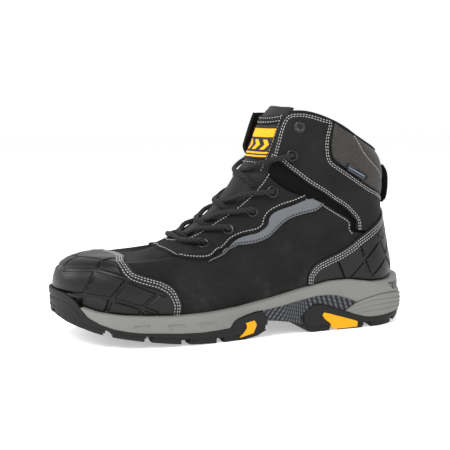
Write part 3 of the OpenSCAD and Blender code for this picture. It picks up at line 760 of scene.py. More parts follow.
def panel(name, low, high, top, under, finish, body, surface=upper, step=1.4,
          rows=20, edge=0.7, ends=True, dents=(), relief=None, crown=0.0, holes=None):
    """A panel from curve low to curve high, top to under millimetres outside the
    surface. dents are (curves, depth, width), relief(points, q) adds height, and
    holes are the middles of eyelets."""
    middle = [((a[0] + b[0]) / 2, (a[1] + b[1]) / 2) for a, b in zip(low, high)]
    share = even_shares(middle, surface, step)
    if ends:
        total = lengths(np.array([surface(*[np.array([c]) for c in q], np.zeros(1))[0]
                                  for q in middle]))[-1]
        near = np.array([0, 0.12, 0.35, 0.65]) * edge / total
        share = np.concatenate([near, share[(share > near[-1] * 1.5)
                                            & (share < 1 - near[-1] * 1.5)],
                                1 - near[::-1]])
    lo, hi = curve_at(low, share), curve_at(high, share)
    zero = np.zeros(len(share))
    width = np.linalg.norm(surface(lo[:, 0], lo[:, 1], zero)
                           - surface(hi[:, 0], hi[:, 1], zero), axis=1) + 0.05
    across = edge_shares(width, edge, rows)
    q = lo[:, None, :] + (hi - lo)[:, None, :] * across[..., None]
    phi, k = q[..., 0], q[..., 1]
    flat = surface(phi, k, np.zeros_like(phi))
    along_v = np.linalg.norm(np.diff(flat, axis=1), axis=2)
    from_low = np.concatenate([np.zeros((len(share), 1)), np.cumsum(along_v, 1)], 1)
    from_high = from_low[:, -1:] - from_low
    reach = np.minimum(from_low, from_high)
    along_u = np.linalg.norm(np.diff(flat, axis=0), axis=2)
    from_start = np.concatenate([np.zeros((1, phi.shape[1])), np.cumsum(along_u, 0)], 0)
    if ends:
        reach = np.minimum(reach, np.minimum(from_start, from_start[-1:] - from_start))
    roll = edge - np.sqrt(np.maximum(edge ** 2 - (edge - np.minimum(reach, edge)) ** 2, 0))
    out = (top(phi, k, across) if callable(top) else np.full_like(phi, top)) - roll * 0.9
    if crown:
        span = from_low[:, -1:]
        out = out + crown * 4 * from_low * from_high / np.maximum(span, 1) ** 2
    fade = ease(reach / max(edge, 0.2))
    for curves, depth, spread in dents:
        out = out - depth * np.exp(-(nearness(flat, curves) / spread) ** 2) * fade
    if relief is not None:
        out = out + relief(flat, q) * fade
    inner = under(phi, k, across) if callable(under) else np.full_like(phi, under)
    points = np.vstack([surface(phi, k, out).reshape(-1, 3),
                        surface(phi, k, inner).reshape(-1, 3)]) + CENTRE
    gone = None
    if holes is not None:
        cell = (flat[1:, 1:] + flat[:-1, :-1] + flat[1:, :-1] + flat[:-1, 1:]) / 4
        gone = nearness(cell, holes) < HOLE
    uv = np.stack([from_start, from_low], -1).reshape(-1, 2)
    piece = add_mesh(name, points, shell_faces(*phi.shape, gone), finish, body,
                     np.vstack([uv, uv]))
    print(f"{name}: {phi.shape[0]} x {phi.shape[1]} points")
    return piece


def lines(*curves, surface=upper):
    """Curves as points on the surface, for dents."""
    out = []
    for q in curves:
        q = np.asarray(q)
        out.append(surface(q[:, 0], q[:, 1], np.zeros(len(q))))
    return out


# %% [markdown]
# ## Stitches
# A seam is a dotted line of short thread. Geometry Nodes lays them: it takes bare
# lines that lie on the panels, measures equal steps along them, and puts a small
# rounded stitch on every step, turned along the seam. One tree serves every seam,
# and its sizes are inputs of the modifier.

# %% Stitch tree
def geometry_tree(name, inputs):
    """An empty Geometry Nodes tree with named inputs, and a helper to add nodes."""
    group = bpy.data.node_groups.new(name, "GeometryNodeTree")
    for way in ("INPUT", "OUTPUT"):
        group.interface.new_socket("Geometry", in_out=way, socket_type="NodeSocketGeometry")
    sockets = {}
    for label, kind, value in inputs:
        socket = group.interface.new_socket(label, in_out="INPUT", socket_type=kind)
        if value is not None:
            socket.default_value = value
        sockets[label] = socket.identifier

    def add(kind, settings=None, **links):
        node = group.nodes.new(kind)
        for key, value in (settings or {}).items():
            setattr(node, key, value)
        for key, value in links.items():
            socket = node.inputs[key.replace("_", " ")]
            if isinstance(value, bpy.types.NodeSocket):
                group.links.new(value, socket)
            else:
                socket.default_value = value
        return node

    return group, add, sockets


def end_tree(add, laid, finish):
    """Makes instances real and smooth, gives them their material and ends the tree."""
    real = add("GeometryNodeRealizeInstances", Geometry=laid.outputs[0])
    smooth = add("GeometryNodeSetShadeSmooth", Geometry=real.outputs[0])
    done = add("GeometryNodeSetMaterial", Geometry=smooth.outputs[0], Material=finish)
    add("NodeGroupOutput", Geometry=done.outputs[0])


def stitch_tree():
    group, add, sockets = geometry_tree("stitches", [
        ("Pitch", "NodeSocketFloat", 0.0032), ("Stitch Length", "NodeSocketFloat", 0.0023),
        ("Thread", "NodeSocketFloat", 0.0007), ("Finish", "NodeSocketMaterial", None)])
    start = add("NodeGroupInput").outputs
    curve = add("GeometryNodeMeshToCurve", Mesh=start["Geometry"])
    steps = add("GeometryNodeResampleCurve", {"mode": "LENGTH"},
                Curve=curve.outputs[0], Length=start["Pitch"])
    ball = add("GeometryNodeMeshUVSphere", Segments=6, Rings=5, Radius=0.5)
    size = add("ShaderNodeCombineXYZ", X=start["Thread"], Y=start["Thread"],
               Z=start["Stitch Length"])
    grain = add("GeometryNodeTransform", Geometry=ball.outputs["Mesh"],
                Scale=size.outputs[0])
    along = add("GeometryNodeInputTangent")
    turn = add("FunctionNodeAlignRotationToVector", {"axis": "Z"},
               Vector=along.outputs[0])
    laid = add("GeometryNodeInstanceOnPoints", Points=steps.outputs[0],
               Instance=grain.outputs[0], Rotation=turn.outputs[0])
    end_tree(add, laid, start["Finish"])
    return group, sockets


STITCHES, STITCH_INPUTS = stitch_tree()
seams = {}


def note(body, thread_kind, xyz):
    seams.setdefault((body, thread_kind), []).append(xyz)


def seam(body, thread_kind, points, out):
    """Notes a seam along chart points, on the outer and the inner side."""
    for q in both(points):
        note(body, thread_kind, upper(q[:, 0], q[:, 1], out) + CENTRE)


def made_final(thing):
    """A plain mesh of an object with its modifiers applied."""
    return bpy.data.meshes.new_from_object(
        thing.evaluated_get(bpy.context.evaluated_depsgraph_get()))


def run_tree(name, group, values, vertices, edges, body, normals=None):
    """Runs a tree on bare points or lines and keeps the result as a plain mesh."""
    mesh = bpy.data.meshes.new(name)
    mesh.from_pydata((np.asarray(vertices) / 1000).tolist(), edges, [])
    if normals is not None:
        axis = mesh.attributes.new("axis", "FLOAT_VECTOR", "POINT")
        axis.data.foreach_set("vector", np.asarray(normals, float).ravel())
    bare = put(name, mesh)
    modifier = bare.modifiers.new("tree", "NODES")
    modifier.node_group = group
    for identifier, value in values.items():
        modifier[identifier] = value
    result = made_final(bare)
    bpy.data.objects.remove(bare)
    result.name = name
    print(f"{name}: {len(result.polygons)} faces")
    return finished(name, result, body)


def sew(body, thread_kind, finish, pitch, length, thickness):
    """Lays every seam noted for one body and thread."""
    vertices, edges = [], []
    for xyz in seams.get((body, thread_kind), []):
        first = len(vertices)
        vertices.extend(xyz.tolist())
        edges.extend((first + i, first + i + 1) for i in range(len(xyz) - 1))
    values = {STITCH_INPUTS["Pitch"]: pitch, STITCH_INPUTS["Stitch Length"]: length,
              STITCH_INPUTS["Thread"]: thickness, STITCH_INPUTS["Finish"]: finish}
    return run_tree(f"stitches_{thread_kind}_{body}", STITCHES, values, vertices, edges,
                    body)


print("stitch tree has", len(STITCHES.nodes), "nodes")

# %% [markdown]
# ## The lace
# One round braided lace crosses over five pairs of eyelets and goes in at the cuff,
# where its ends are tucked down beside the tongue. The route repeats the CAD's points:
# out of an eyelet, under the edge of the stay, over the tongue to the other side, and
# down into the next eyelet. It is a swept tube, because its unwrapped length and
# girth then carry the braid.

# %% Lace route
LACE_R, OVER, STAY_TOP = 2.1, 0.3, 1.9   # lace radius, overlays' underside and top
LOWER_EYES = [(43, 4.69), (48.5, 5.15), (52.5, 5.73), (56, 6.3)]
UPPER_EYES = [(58, 7.18), (58, 7.72)]
EYES = LOWER_EYES + UPPER_EYES[:1]
EXITS = [(20, 4.98), (26, 5.36), (31, 5.84), (36, 6.5)]
ENTRIES = [(24, 5.16), (29, 5.66), (35, 6.2), (37, 7.02)]


def seat(i):
    return STAY_TOP if i < 4 else 0


def spot(phi, k, out):
    return upper(float(phi), float(k), float(out))


def through_eye(i, s):
    """Points that take the lace over the ring of an eyelet and down its bore."""
    return [spot(s * EYES[i][0], EYES[i][1], seat(i) + out)
            for out in (LACE_R + 2.2, 1.6, -0.8)]


def span_points(i, s):
    (x, xk), (y, yk), (a, ak), (b, bk) = EXITS[i], ENTRIES[i], EYES[i], EYES[i + 1]
    r, lift = LACE_R, 1.85 * LACE_R if s > 0 else 0
    return [spot(s * a, ak, -2.8), spot(s * x, xk, -0.6 - r),
            spot(s * x * 0.55, xk * 0.65 + yk * 0.35, r - 2.7 + lift * 0.4),
            spot(0, (xk + yk) / 2, r - 3.5 + lift),
            spot(-s * y * 0.6, xk * 0.25 + yk * 0.75, r - 1.7 + lift * 0.35),
            spot(-s * y, yk, seat(i + 1) + r),
            spot(-s * (y + b) / 2, (yk + bk) / 2, seat(i + 1) + r + 1.7),
            *through_eye(i + 1, -s)]


def strand(s):
    r = LACE_R
    points = [spot(0, 4.9, STAY_TOP + r + 0.4), spot(s * 12, 4.86, STAY_TOP + r + 0.4),
              spot(s * 28, 4.72, STAY_TOP + r + 1.2), *through_eye(0, s)]
    for i in range(4):
        points += span_points(i, s if i % 2 == 0 else -s)
    return points + [spot(s * 58, 7.16, -4.4), spot(s * 54, 7, -9),
                     spot(s * 47, 6.7, -12.5), spot(s * 40, 6.3, -14.5)]


def centripetal(points, step):
    """A smooth line through points that does not loop where they are close."""
    p = np.asarray(points, float)
    p = np.vstack([2 * p[0] - p[1], p, 2 * p[-1] - p[-2]])
    out = []
    for i in range(1, len(p) - 2):
        a, b, c, d = p[i - 1:i + 3]
        t0, t1 = 0.0, np.linalg.norm(b - a) ** 0.5
        t2 = t1 + np.linalg.norm(c - b) ** 0.5
        t3 = t2 + np.linalg.norm(d - c) ** 0.5
        t = np.linspace(t1, t2, 24, endpoint=False)[:, None]
        e = (t1 - t) / (t1 - t0) * a + (t - t0) / (t1 - t0) * b
        f = (t2 - t) / (t2 - t1) * b + (t - t1) / (t2 - t1) * c
        g = (t3 - t) / (t3 - t2) * c + (t - t2) / (t3 - t2) * d
        h = (t2 - t) / (t2 - t0) * e + (t - t0) / (t2 - t0) * f
        m = (t3 - t) / (t3 - t1) * f + (t - t1) / (t3 - t1) * g
        out.append((t2 - t) / (t2 - t1) * h + (t - t1) / (t2 - t1) * m)
    line = np.vstack(out + [p[-2:-1]])
    run = lengths(line)
    even = np.linspace(0, run[-1], int(run[-1] / step) + 1)
    return np.stack([np.interp(even, run, line[:, j]) for j in range(3)], -1)


def ring_faces(n, sides):
    """Faces of a closed tube of n rings."""
    faces = [[i * sides + j, (i + 1) * sides + j, (i + 1) * sides + (j + 1) % sides,
              i * sides + (j + 1) % sides] for i in range(n - 1) for j in range(sides)]
    return faces + [list(range(sides)), [(n - 1) * sides + j for j in range(sides)][::-1]]


def tube(name, line, radius, sides, finish, body):
    """A closed tube of rings along a line, with its length and girth as UV."""
    n = len(line)
    ahead = unit(np.gradient(line, axis=0))
    up = unit(np.cross(np.cross(ahead[0], [0.1, 0, 1.0]), ahead[0]))
    rings, uv = [], []
    run = lengths(line)
    angle = np.linspace(0, 2 * np.pi, sides + 1)
    for i in range(n):
        up = unit(up - ahead[i] * np.dot(ahead[i], up))
        across = np.cross(ahead[i], up)
        r = radius[i] if np.ndim(radius) else radius
        rings.append(line[i] + r * (np.cos(angle)[:-1, None] * up
                                    + np.sin(angle)[:-1, None] * across))
        uv.append(np.stack([np.full(sides, run[i]), angle[:-1] / (2 * np.pi) * 1000], -1))
    return add_mesh(name, np.vstack(rings) + CENTRE, ring_faces(n, sides), finish, body,
                    np.vstack(uv), 70)


route = centripetal(strand(-1)[::-1] + strand(1)[1:], 0.9)
for _ in range(3):
    route[1:-1] = route[1:-1] * 0.5 + (route[:-2] + route[2:]) * 0.25
lace = tube("lace_braided", route, LACE_R, 12, LACE_CORD, None)
eye_low, eye_high = (spot(57, k, 0) + CENTRE for k in (6.35, 7.1))
eye_low[0] / 1000
eye_low[2] / 1000
eye_high[0] / 1000
eye_high[2] / 1000
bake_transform(lace)
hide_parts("lace")
lace_length = lengths(route)[-1]
print("lace:", round(lace_length), "mm from end to end")

# %% [markdown]
# ## The leather
# Two pieces of nubuck make the lower boot: the big quarter and vamp that is lasted
# over the foot, and the lace stay that lies on it. Their curves are the CAD's.

# %% Lower leather curves
LEATHER_T, SEAM_LIFT = 1.8, 0.12
STAY_OUT = [(0, 4.52), (13, 4.45), (26, 4.34), (38, 4.12), (48, 3.74), (57, 3.2),
            (65, 2.68), (73, 2.46), (75.5, 2.7), (73, 3.4), (64, 4.25), (60.5, 4.6),
            (63, 4.8), (70, 4.86), (70.5, 5.1), (67, 5.4), (66, 5.62), (70, 5.8),
            (77, 5.92), (82, 6.05)]
STAY_IN = [(0, 4.84), (5, 4.84), (10, 4.85), (15, 4.86), (20, 4.88), (23, 4.92),
           (25, 5.02), (26.5, 5.14), (28, 5.28), (29.5, 5.42), (31, 5.56), (33, 5.7),
           (34.5, 5.82), (36, 5.93), (37.5, 6.06), (38.7, 6.18), (40, 6.3),
           (41, 6.44), (42, 6.6), (42.5, 6.76)]
QUARTER_TOP = [(90, 5.95), (97.2, 5.78), (104.5, 5.52), (111.5, 5.23), (118, 4.92),
               (123.6, 4.6), (127.8, 4.22), (129.4, 3.8), (132, 3.44), (140, 3.16),
               (148, 3.12), (155, 3.3), (162, 3.47), (168, 3.6), (174, 3.67),
               (179.6, 3.7)]
VAMP_TOP = [tuple(0.76 * np.array(a) + 0.24 * np.array(b))
            for a, b in zip(STAY_OUT, STAY_IN)] + QUARTER_TOP
VAMP_FOOT = [(4.1 * i, 0) for i in range(20)] + [(a, 0) for a in (
    86, 93, 101, 109, 116, 123, 129, 134, 139, 145, 151, 157, 163, 168, 174, 179.6)]
TOE_EDGE = [(0, 3.8), (10, 3.75), (20, 3.56), (32, 3.2), (41.4, 2.57), (46.7, 2.01),
            (50, 1.82), (54.3, 1.66), (59.3, 1.48), (63.6, 1.2), (65.7, 0.86),
            (66.4, 0.6)]
HEEL_EDGE = [(111.8, 1.1), (115, 1.53), (120, 1.8), (125.8, 2.08), (131.5, 2.48),
             (136.5, 2.98), (144.4, 3.55), (156, 4.03), (168, 4.5), (180, 4.7)]
quarter_seam = trace([(84, 6.06)] + QUARTER_TOP[:9], inset=-2.0)


def creases(xyz, q):
    """Soft folds across the ball and behind it, where a worn boot bends."""
    phi, k = np.abs(q[..., 0]), q[..., 1]
    side_on = ease((phi - 25) / 40) * ease((120 - phi) / 30)
    wave = np.sin(phi * 0.23 + k * 2.1) * 0.22 + np.sin(phi * 0.11 - k * 1.3) * 0.3
    return wave * side_on * ease(k / 1.2) * ease((6 - k) / 1.5)


quarter = panel("quarter_leather", flipped(VAMP_FOOT)[:-1] + VAMP_FOOT,
                both_front(VAMP_TOP), 0.0, -LEATHER_T, LEATHER, "boot",
                step=1.9, rows=44, edge=0.8, dents=[(lines(*both(quarter_seam)), 0.3, 0.9)],
                relief=creases)
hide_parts("vamp")
seam("boot", "pale", quarter_seam, SEAM_LIFT)

# %% Lace stay
stay_low_seam = trace(STAY_OUT, inset=1.9)
stay_high_seam = trace(STAY_IN, inset=-2.2)
holes = both(*[np.array([e]) for e in LOWER_EYES])
stay = panel("lace_stay", both_front(STAY_OUT), both_front(STAY_IN), STAY_TOP, OVER,
             STAY_LEATHER, "boot", step=1.0, rows=26, edge=0.8,
             dents=[(lines(*both(stay_low_seam, stay_high_seam)), 0.3, 0.8),
                    (lines(*holes), 0.35, 5.0)], crown=0.35, holes=lines(*holes))
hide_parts("eyestay")
seam("boot", "pale", stay_low_seam, STAY_TOP + 0.1)
seam("boot", "pale", stay_high_seam, STAY_TOP + 0.1)

# %% [markdown]
# A strip of reflective film follows the lower edge of the stay. Its dark thread
# reads as a row of dots.

# %% Reflective strips
STRIP_LOW = [(74.6, 2.2), (79.4, 2.75), (77, 3.4), (72, 4.02), (76, 3.98), (80, 3.98),
             (83, 4.25), (82, 4.7), (81.6, 5.1), (84, 5.3), (90, 5.4), (96, 5.47),
             (98.4, 5.72)]
STRIP_HIGH = [(75.3, 2.36), (78, 2.75), (75, 3.36), (66.5, 4.2), (64, 4.6), (68, 4.72),
              (72, 4.76), (72.6, 5.1), (68.6, 5.46), (69.6, 5.66), (77, 5.8),
              (83, 5.95), (88, 6.0)]
strip_seam = trace(STRIP_LOW, inset=1.4)
for name, turn in SIDES:
    strip = panel(f"reflective_strip_{name}", turned(STRIP_LOW, turn),
                  turned(STRIP_HIGH, turn), 1.2, OVER, REFLECTIVE, "boot",
                  step=0.9, rows=10, edge=0.5,
                  dents=[(lines(*both(strip_seam)), 0.2, 0.7)])
    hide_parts(f"reflective_{name}")
seam("boot", "dark", strip_seam, 1.25)

# %% [markdown]
# ## Toe and heel guards
# The toe guard is a moulding with raised plates parted by wide grooves, the heel
# guard a smooth one with thin cuts that make diamonds. Both are sewn on with three
# rows. The grooves are real height, so they catch light at their edges.

# %% Toe guard
RIM_TOP = [(152, 41), (146, 40.5), (133, 38.6), (112, 39), (90, 42.3), (71, 42),
           (43, 37), (15, 31), (-12, 27), (-39, 25), (-69, 24.5), (-89, 25.5),
           (-112, 26.8), (-128, 28.8), (-139.2, 32.2)]


def level_line(points, x):
    """The height at x of a line drawn in the side view."""
    xs, zs = np.array(sorted(points), float).T
    return np.interp(x, xs, zs)


def on_rim(phi):
    """The chart point of the upper a millimetre above the sole's rim."""
    rings = np.linspace(-0.3, 2.6, 600)
    rim_height = level_line(RIM_TOP + [(160, 41.5), (-144, 28), (-160, 28)],
                            skin(phi, 1.0)[0])
    z = skin(np.full(600, float(phi)), rings)[:, 2]
    return (phi, float(np.interp(rim_height + 1.0, z, rings)))


TOE_FOOT = [on_rim(a) for a in (0, 9, 17, 25, 33, 40, 45, 50, 55, 60, 63.6, 66)]
ROW_HIGH = [(0, 1.74), (9, 1.78), (16, 1.85), (23, 1.93), (30.7, 1.96), (37, 1.84),
            (43, 1.68), (47, 1.5), (52, 1.28), (56, 1.12), (60.5, 0.96)]
ROW_LOW = [(0, 0.78), (8, 0.8), (21, 0.83), (30, 0.86), (39, 0.82), (46, 0.7),
           (52, 0.56), (57, 0.42)]
COLUMNS = [[(27, 3.2), (29.6, 2.6), (30.7, 1.93), (30, 1.45), (28, 1.03), (25, 0.62),
            (22, 0.2)],
           [(48.6, 1.8), (47, 1.64), (45, 1.4), (42.8, 1.1), (40, 0.8), (36.4, 0.3)],
           [(61, 1.2), (58.6, 1.0), (55, 0.78), (52, 0.56), (50, 0.2)]]
CREST = [(0, 2.72), (8, 2.86), (19, 2.86), (27, 2.74), (34, 2.5), (40, 2.2)]
FRONT = [(8.6, 1.78), (7.2, 2.1), (5.2, 2.5), (4.6, 2.8)]
wide = lines(*both(*[trace(c, step=0.5) for c in [ROW_HIGH, ROW_LOW] + COLUMNS]))
thin = lines(*both(trace(CREST, step=0.5), trace(FRONT, step=0.5)))
toe_rows = [trace(TOE_EDGE + [(65.9, 0.34)], inset=d) for d in (-2.0, -3.7, -6.0)]
toe_edge_line = lines(*both(trace(TOE_EDGE)))


def plates(xyz, q):
    """Grooves with flat floors and bevelled sides, and a raised rim round them."""
    wide_gap, thin_gap = nearness(xyz, wide), nearness(xyz, thin)
    sewn = ease((nearness(xyz, toe_edge_line) - 7.0) / 1.6)
    groove = 1 - ease((wide_gap - 1.15) / 0.75)
    lip = np.exp(-((wide_gap - 2.5) / 0.7) ** 2)
    slot_cut = 1 - ease((thin_gap - 0.2) / 1.1)
    return (0.55 - 1.65 * groove + 0.2 * lip - 0.9 * slot_cut) * sewn


toe_guard = panel("toe_guard", both_front(TOE_FOOT), both_front(TOE_EDGE), STAY_TOP,
                  OVER, GUARD, "boot", step=0.8, rows=96, edge=0.9,
                  dents=[(lines(*both(*toe_rows)), 0.28, 0.6)], relief=plates)
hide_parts("toe_overlay")
for row in toe_rows:
    seam("boot", "pale", row, STAY_TOP + 0.02)

# %% Heel guard
HEEL_FOOT = [on_rim(a) for a in (111.6, 114.5, 119, 125, 131, 137, 145, 156, 168, 180)]
CUTS = [[(124.6, 1.62), (127.4, 0.8)], [(137, 2.26), (138, 1.76)],
        [(138.6, 1.53), (140.8, 0.95)], [(148.4, 3.2), (150.6, 2.74)],
        [(151.5, 2.45), (154.6, 1.76)], [(154.8, 1.5), (163.7, 0.86)],
        [(130.6, 0.82), (136.8, 1.38)], [(139, 1.56), (148.8, 2.34)],
        [(152.6, 2.52), (166, 3.1)], [(142, 0.82), (152.4, 1.42)],
        [(155.4, 1.72), (172, 2.7)], [(165, 0.9), (180, 1.9)], [(168, 2.96), (180, 2.2)],
        [(160, 4.0), (180, 3.1)]]
cut_lines = lines(*both(*[trace(cut, step=0.5) for cut in CUTS]))
heel_rows = [trace([(111.4, 0.8)] + HEEL_EDGE, inset=d) for d in (-2.0, -3.8, -5.6)]
heel_edge_line = lines(*both_heel(trace(HEEL_EDGE)))


def diamonds(xyz, q):
    """Thin cuts that part the heel guard into diamonds."""
    gap = nearness(xyz, cut_lines)
    sewn = ease((nearness(xyz, heel_edge_line) - 6.6) / 1.2)
    return (0.35 - 1.45 * (1 - ease((gap - 0.4) / 0.5))
            + 0.15 * np.exp(-((gap - 1.3) / 0.5) ** 2)) * sewn


heel_guard = panel("heel_guard", both_back(HEEL_FOOT), both_back(HEEL_EDGE), STAY_TOP,
                   OVER, GUARD, "boot", step=0.8, rows=84, edge=0.9,
                   dents=[(lines(*both_heel(*heel_rows)), 0.28, 0.6)], relief=diamonds)
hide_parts("heel_overlay")
for row in heel_rows:
    seam("boot", "pale", row, STAY_TOP + 0.02)

# %% [markdown]
# ## The cuff
# Two leather wings carry the upper eyelets and run round to the heel. They move with
# the ankle, so they ride on the cuff body, and their edges carry double rows.

# %% Cuff wings
CUFF_TOP = [(38, 7.82), (44.5, 7.985), (56, 8), (66, 8), (76, 8), (85.6, 8), (86, 7.66),
            (87, 7.44), (90.5, 7.2), (96.5, 7.08), (104, 6.95), (112, 6.78),
            (122, 6.53), (133, 6.23), (143, 6), (152, 5.78), (163, 5.5), (172, 5.4),
            (179.6, 5.36)]
CUFF_LOW = [(40, 7.1), (50, 7.03), (60, 6.88), (69, 6.73), (78, 6.54), (86, 6.36),
            (91, 6.24), (96, 6.1), (101, 5.93), (106, 5.75), (111, 5.57), (116, 5.36),
            (121, 5.08), (127, 4.66), (131.5, 4.2), (134, 3.6), (145, 3.28),
            (163, 3.72), (179.6, 4)]
front_edge = CUFF_LOW[:16]
cuff_rows = []
for d in (1.7, 3.4):
    cuff_rows += [trace(front_edge, inset=d),
                  trace([(40, 7.12), (39, 7.4), (38.2, 7.65), (38.9, 7.84), (43, 7.97)]
                        + CUFF_TOP[2:], inset=-d)]

MARK_ROW = [(90, 6.74), (98, 6.59), (108.5, 6.33), (119.5, 5.96), (137, 5.34)]
marks = []
for a in np.linspace(93, 133, 11):
    b = float(np.interp(a, *np.array(MARK_ROW).T))
    marks.append(trace([(a - 0.9, b - 0.1), (a, b), (a + 0.9, b + 0.1)], step=0.4))
bars = lines(*marks)


def pressed_bars(xyz, q):
    """A row of plain pressed bars on the outer wing."""
    return -0.45 * (1 - ease((nearness(xyz, bars) - 0.5) / 0.5))


def flare(phi, k, across):
    """The inner wing's front edge stands off the tongue, as a laced boot's does."""
    return 6.5 * ease((46 - np.abs(phi)) / 15) * ease((k - 7.05) / 0.25)


upper_holes = both(*[np.array([e]) for e in UPPER_EYES])
for name, turn in SIDES:
    low, high, top, under = CUFF_LOW, CUFF_TOP, 0.0, -LEATHER_T
    if turn < 0:
        low = flipped([(31, 7.16), (35, 7.13)] + CUFF_LOW[1:])
        high = flipped([(29, 7.93), (33, 7.97)] + CUFF_TOP[1:])
        top, under = flare, lambda phi, k, across: flare(phi, k, across) - LEATHER_T
    wing = panel(f"cuff_wing_{name}", low, high, top, under, LEATHER, "cuff",
                 step=0.9, rows=56, edge=0.8, crown=0.3, relief=pressed_bars,
                 dents=[(lines(*both(*cuff_rows)), 0.25, 0.7),
                        (lines(*upper_holes), 0.35, 5.0)],
                 holes=lines(*upper_holes))
    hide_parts(f"cuff_panel_{name}")
for row in cuff_rows:
    seam("cuff", "pale", row, SEAM_LIFT)

roll_k = np.linspace(7.16, 7.98, 60)
roll_phi = -31 + 2 * (roll_k - 7.16) / 0.82
roll = upper(roll_phi, roll_k, flare(roll_phi, roll_k, 0) - 1.0)
tube("cuff_front_roll", roll, 1.7 * np.sin(np.linspace(0.35, np.pi - 0.35, 60)) ** 0.4, 12,
     BINDING, "cuff")

# %% [markdown]
# The dark flex band under the cuff is a folded knit. It lies between boot and cuff,
# and its folds are ridges that run along it.

# %% Flex gussets
GUSSET_LOW = [(45, 6.62), (60, 6.3), (80, 5.88), (97, 5.55), (111, 5), (121, 4.4),
              (126, 3.9), (128, 2.9)]
GUSSET_HIGH = [(40, 7.2), (50, 7.1), (70, 6.82), (91, 6.45), (113, 5.75), (127, 5.05),
               (137, 4.2), (139, 3)]


def folds(phi, k, across):
    return -2.7 + 0.35 * np.sin(across * np.pi * 7) ** 2


band_low = spot(80, 5.88, 0) + CENTRE
band_high = spot(76, 6.7, 0) + CENTRE
for name, turn in SIDES:
    gusset = panel(f"flex_gusset_knit_{name}", turned(GUSSET_LOW, turn),
                   turned(GUSSET_HIGH, turn), folds, -3.9, GUSSET_CLOTH, None,
                   step=1.6, rows=30, edge=0.4)
    band_low[0] / 1000
    band_low[2] / 1000
    band_high[0] / 1000
    band_high[2] / 1000
    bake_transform(gusset)
    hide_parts(f"flex_gusset_{name}")

# %% [markdown]
# ## Eyelets
# An eyelet is a rolled metal ring with a short barrel through the leather. Twelve of
# them are the same, so a second tree puts one on every hole, turned to the leather.

# %% Eyelet tree
def eyelet_tree():
    group, add, sockets = geometry_tree("eyelets", [
        ("Flange", "NodeSocketFloat", 0.0037), ("Roll", "NodeSocketFloat", 0.0012),
        ("Barrel", "NodeSocketFloat", 0.00265), ("Finish", "NodeSocketMaterial", None)])
    start = add("NodeGroupInput").outputs

    def ring(radius, profile_scale, drop):
        path = add("GeometryNodeCurvePrimitiveCircle", Resolution=40, Radius=radius)
        shape = add("GeometryNodeCurvePrimitiveCircle", Resolution=12, Radius=1.0)
        sized = add("GeometryNodeTransform", Geometry=shape.outputs[0],
                    Scale=profile_scale)
        swept = add("GeometryNodeCurveToMesh", Curve=path.outputs[0],
                    Profile_Curve=sized.outputs[0])
        return add("GeometryNodeTransform", Geometry=swept.outputs[0],
                   Translation=(0, 0, drop)).outputs[0]

    roll = add("ShaderNodeCombineXYZ", X=start["Roll"], Y=0.0006, Z=1.0)
    flange = ring(start["Flange"], roll.outputs[0], 0.0005)
    barrel = ring(start["Barrel"], (0.0004, 0.0017, 1.0), -0.0009)
    lip = ring(0.0039, (0.0004, 0.0004, 1.0), 0.00095)
    join = group.nodes.new("GeometryNodeJoinGeometry")
    for part in (flange, barrel, lip):
        group.links.new(part, join.inputs[0])
    axis = add("GeometryNodeInputNamedAttribute", {"data_type": "FLOAT_VECTOR"},
               Name="axis")
    turn = add("FunctionNodeAlignRotationToVector", {"axis": "Z"}, Vector=axis.outputs[0])
    laid = add("GeometryNodeInstanceOnPoints", Points=start["Geometry"],
               Instance=join.outputs[0], Rotation=turn.outputs[0])
    end_tree(add, laid, start["Finish"])
    return group, sockets


EYELETS, EYELET_INPUTS = eyelet_tree()
for name, body, eyes, height in (("lower", "boot", LOWER_EYES, STAY_TOP - 0.25),
                                 ("upper", "cuff", UPPER_EYES, -0.1)):
    q = np.array(eyes + [(-a, b) for a, b in eyes])
    spots = upper(q[:, 0], q[:, 1], np.full(len(q), height)) + CENTRE
    rings = run_tree(f"eyelets_{name}_rings", EYELETS, {EYELET_INPUTS["Finish"]: EYELET},
                     spots, [], body,
                     skin_normal(q[:, 0], q[:, 1]))
    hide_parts(f"eyelets_{name}")

# %% [markdown]
# ## Padding
# The collar and the tongue are foam under cloth. Each starts as a closed shell a
# little smaller than its space, Blender's cloth blows it up against its own seams,
# and no point may move further than a cap. After that come one subdivision and the
# seams, because a seam is stiffer than the foam and has to be pressed in last.

# %% Soft tools
def coordinates(mesh):
    co = np.zeros(len(mesh.vertices) * 3)
    mesh.vertices.foreach_get("co", co)
    return co.reshape(-1, 3)


def puff(piece, held, cap, pressure=4.0):
    """Cloth pressure for 20 frames. held are pinned vertices, cap is millimetres."""
    rest = coordinates(piece.data)
    pins = piece.vertex_groups.new(name="held")
    pins.add([int(i) for i in np.nonzero(held)[0]], 1.0, "REPLACE")
    cloth = piece.modifiers.new("cloth", "CLOTH")
    s = cloth.settings
    s.quality, s.mass = 6, 0.2
    s.tension_stiffness = s.compression_stiffness = 12
    s.shear_stiffness, s.bending_stiffness = 6, 0.6
    s.use_pressure, s.uniform_pressure_force = True, pressure
    s.effector_weights.gravity = 0
    s.vertex_group_mass = "held"
    for f in range(1, 21):
        scene.frame_set(f)
    done = piece.evaluated_get(bpy.context.evaluated_depsgraph_get()).to_mesh()
    moved = coordinates(done) - rest
    piece.modifiers.remove(cloth)
    piece.vertex_groups.clear()
    scene.frame_set(1)
    far = np.linalg.norm(moved, axis=1)
    limit = np.broadcast_to(cap, far.shape) / 1000
    share = limit * np.tanh(far / np.maximum(limit, 1e-6)) / np.maximum(far, 1e-9)
    rest = rest + moved * share[:, None]
    piece.data.vertices.foreach_set("co", rest.ravel())
    print(f"{piece.name}: cloth moved it up to {far.max() * 1000:.1f} mm")


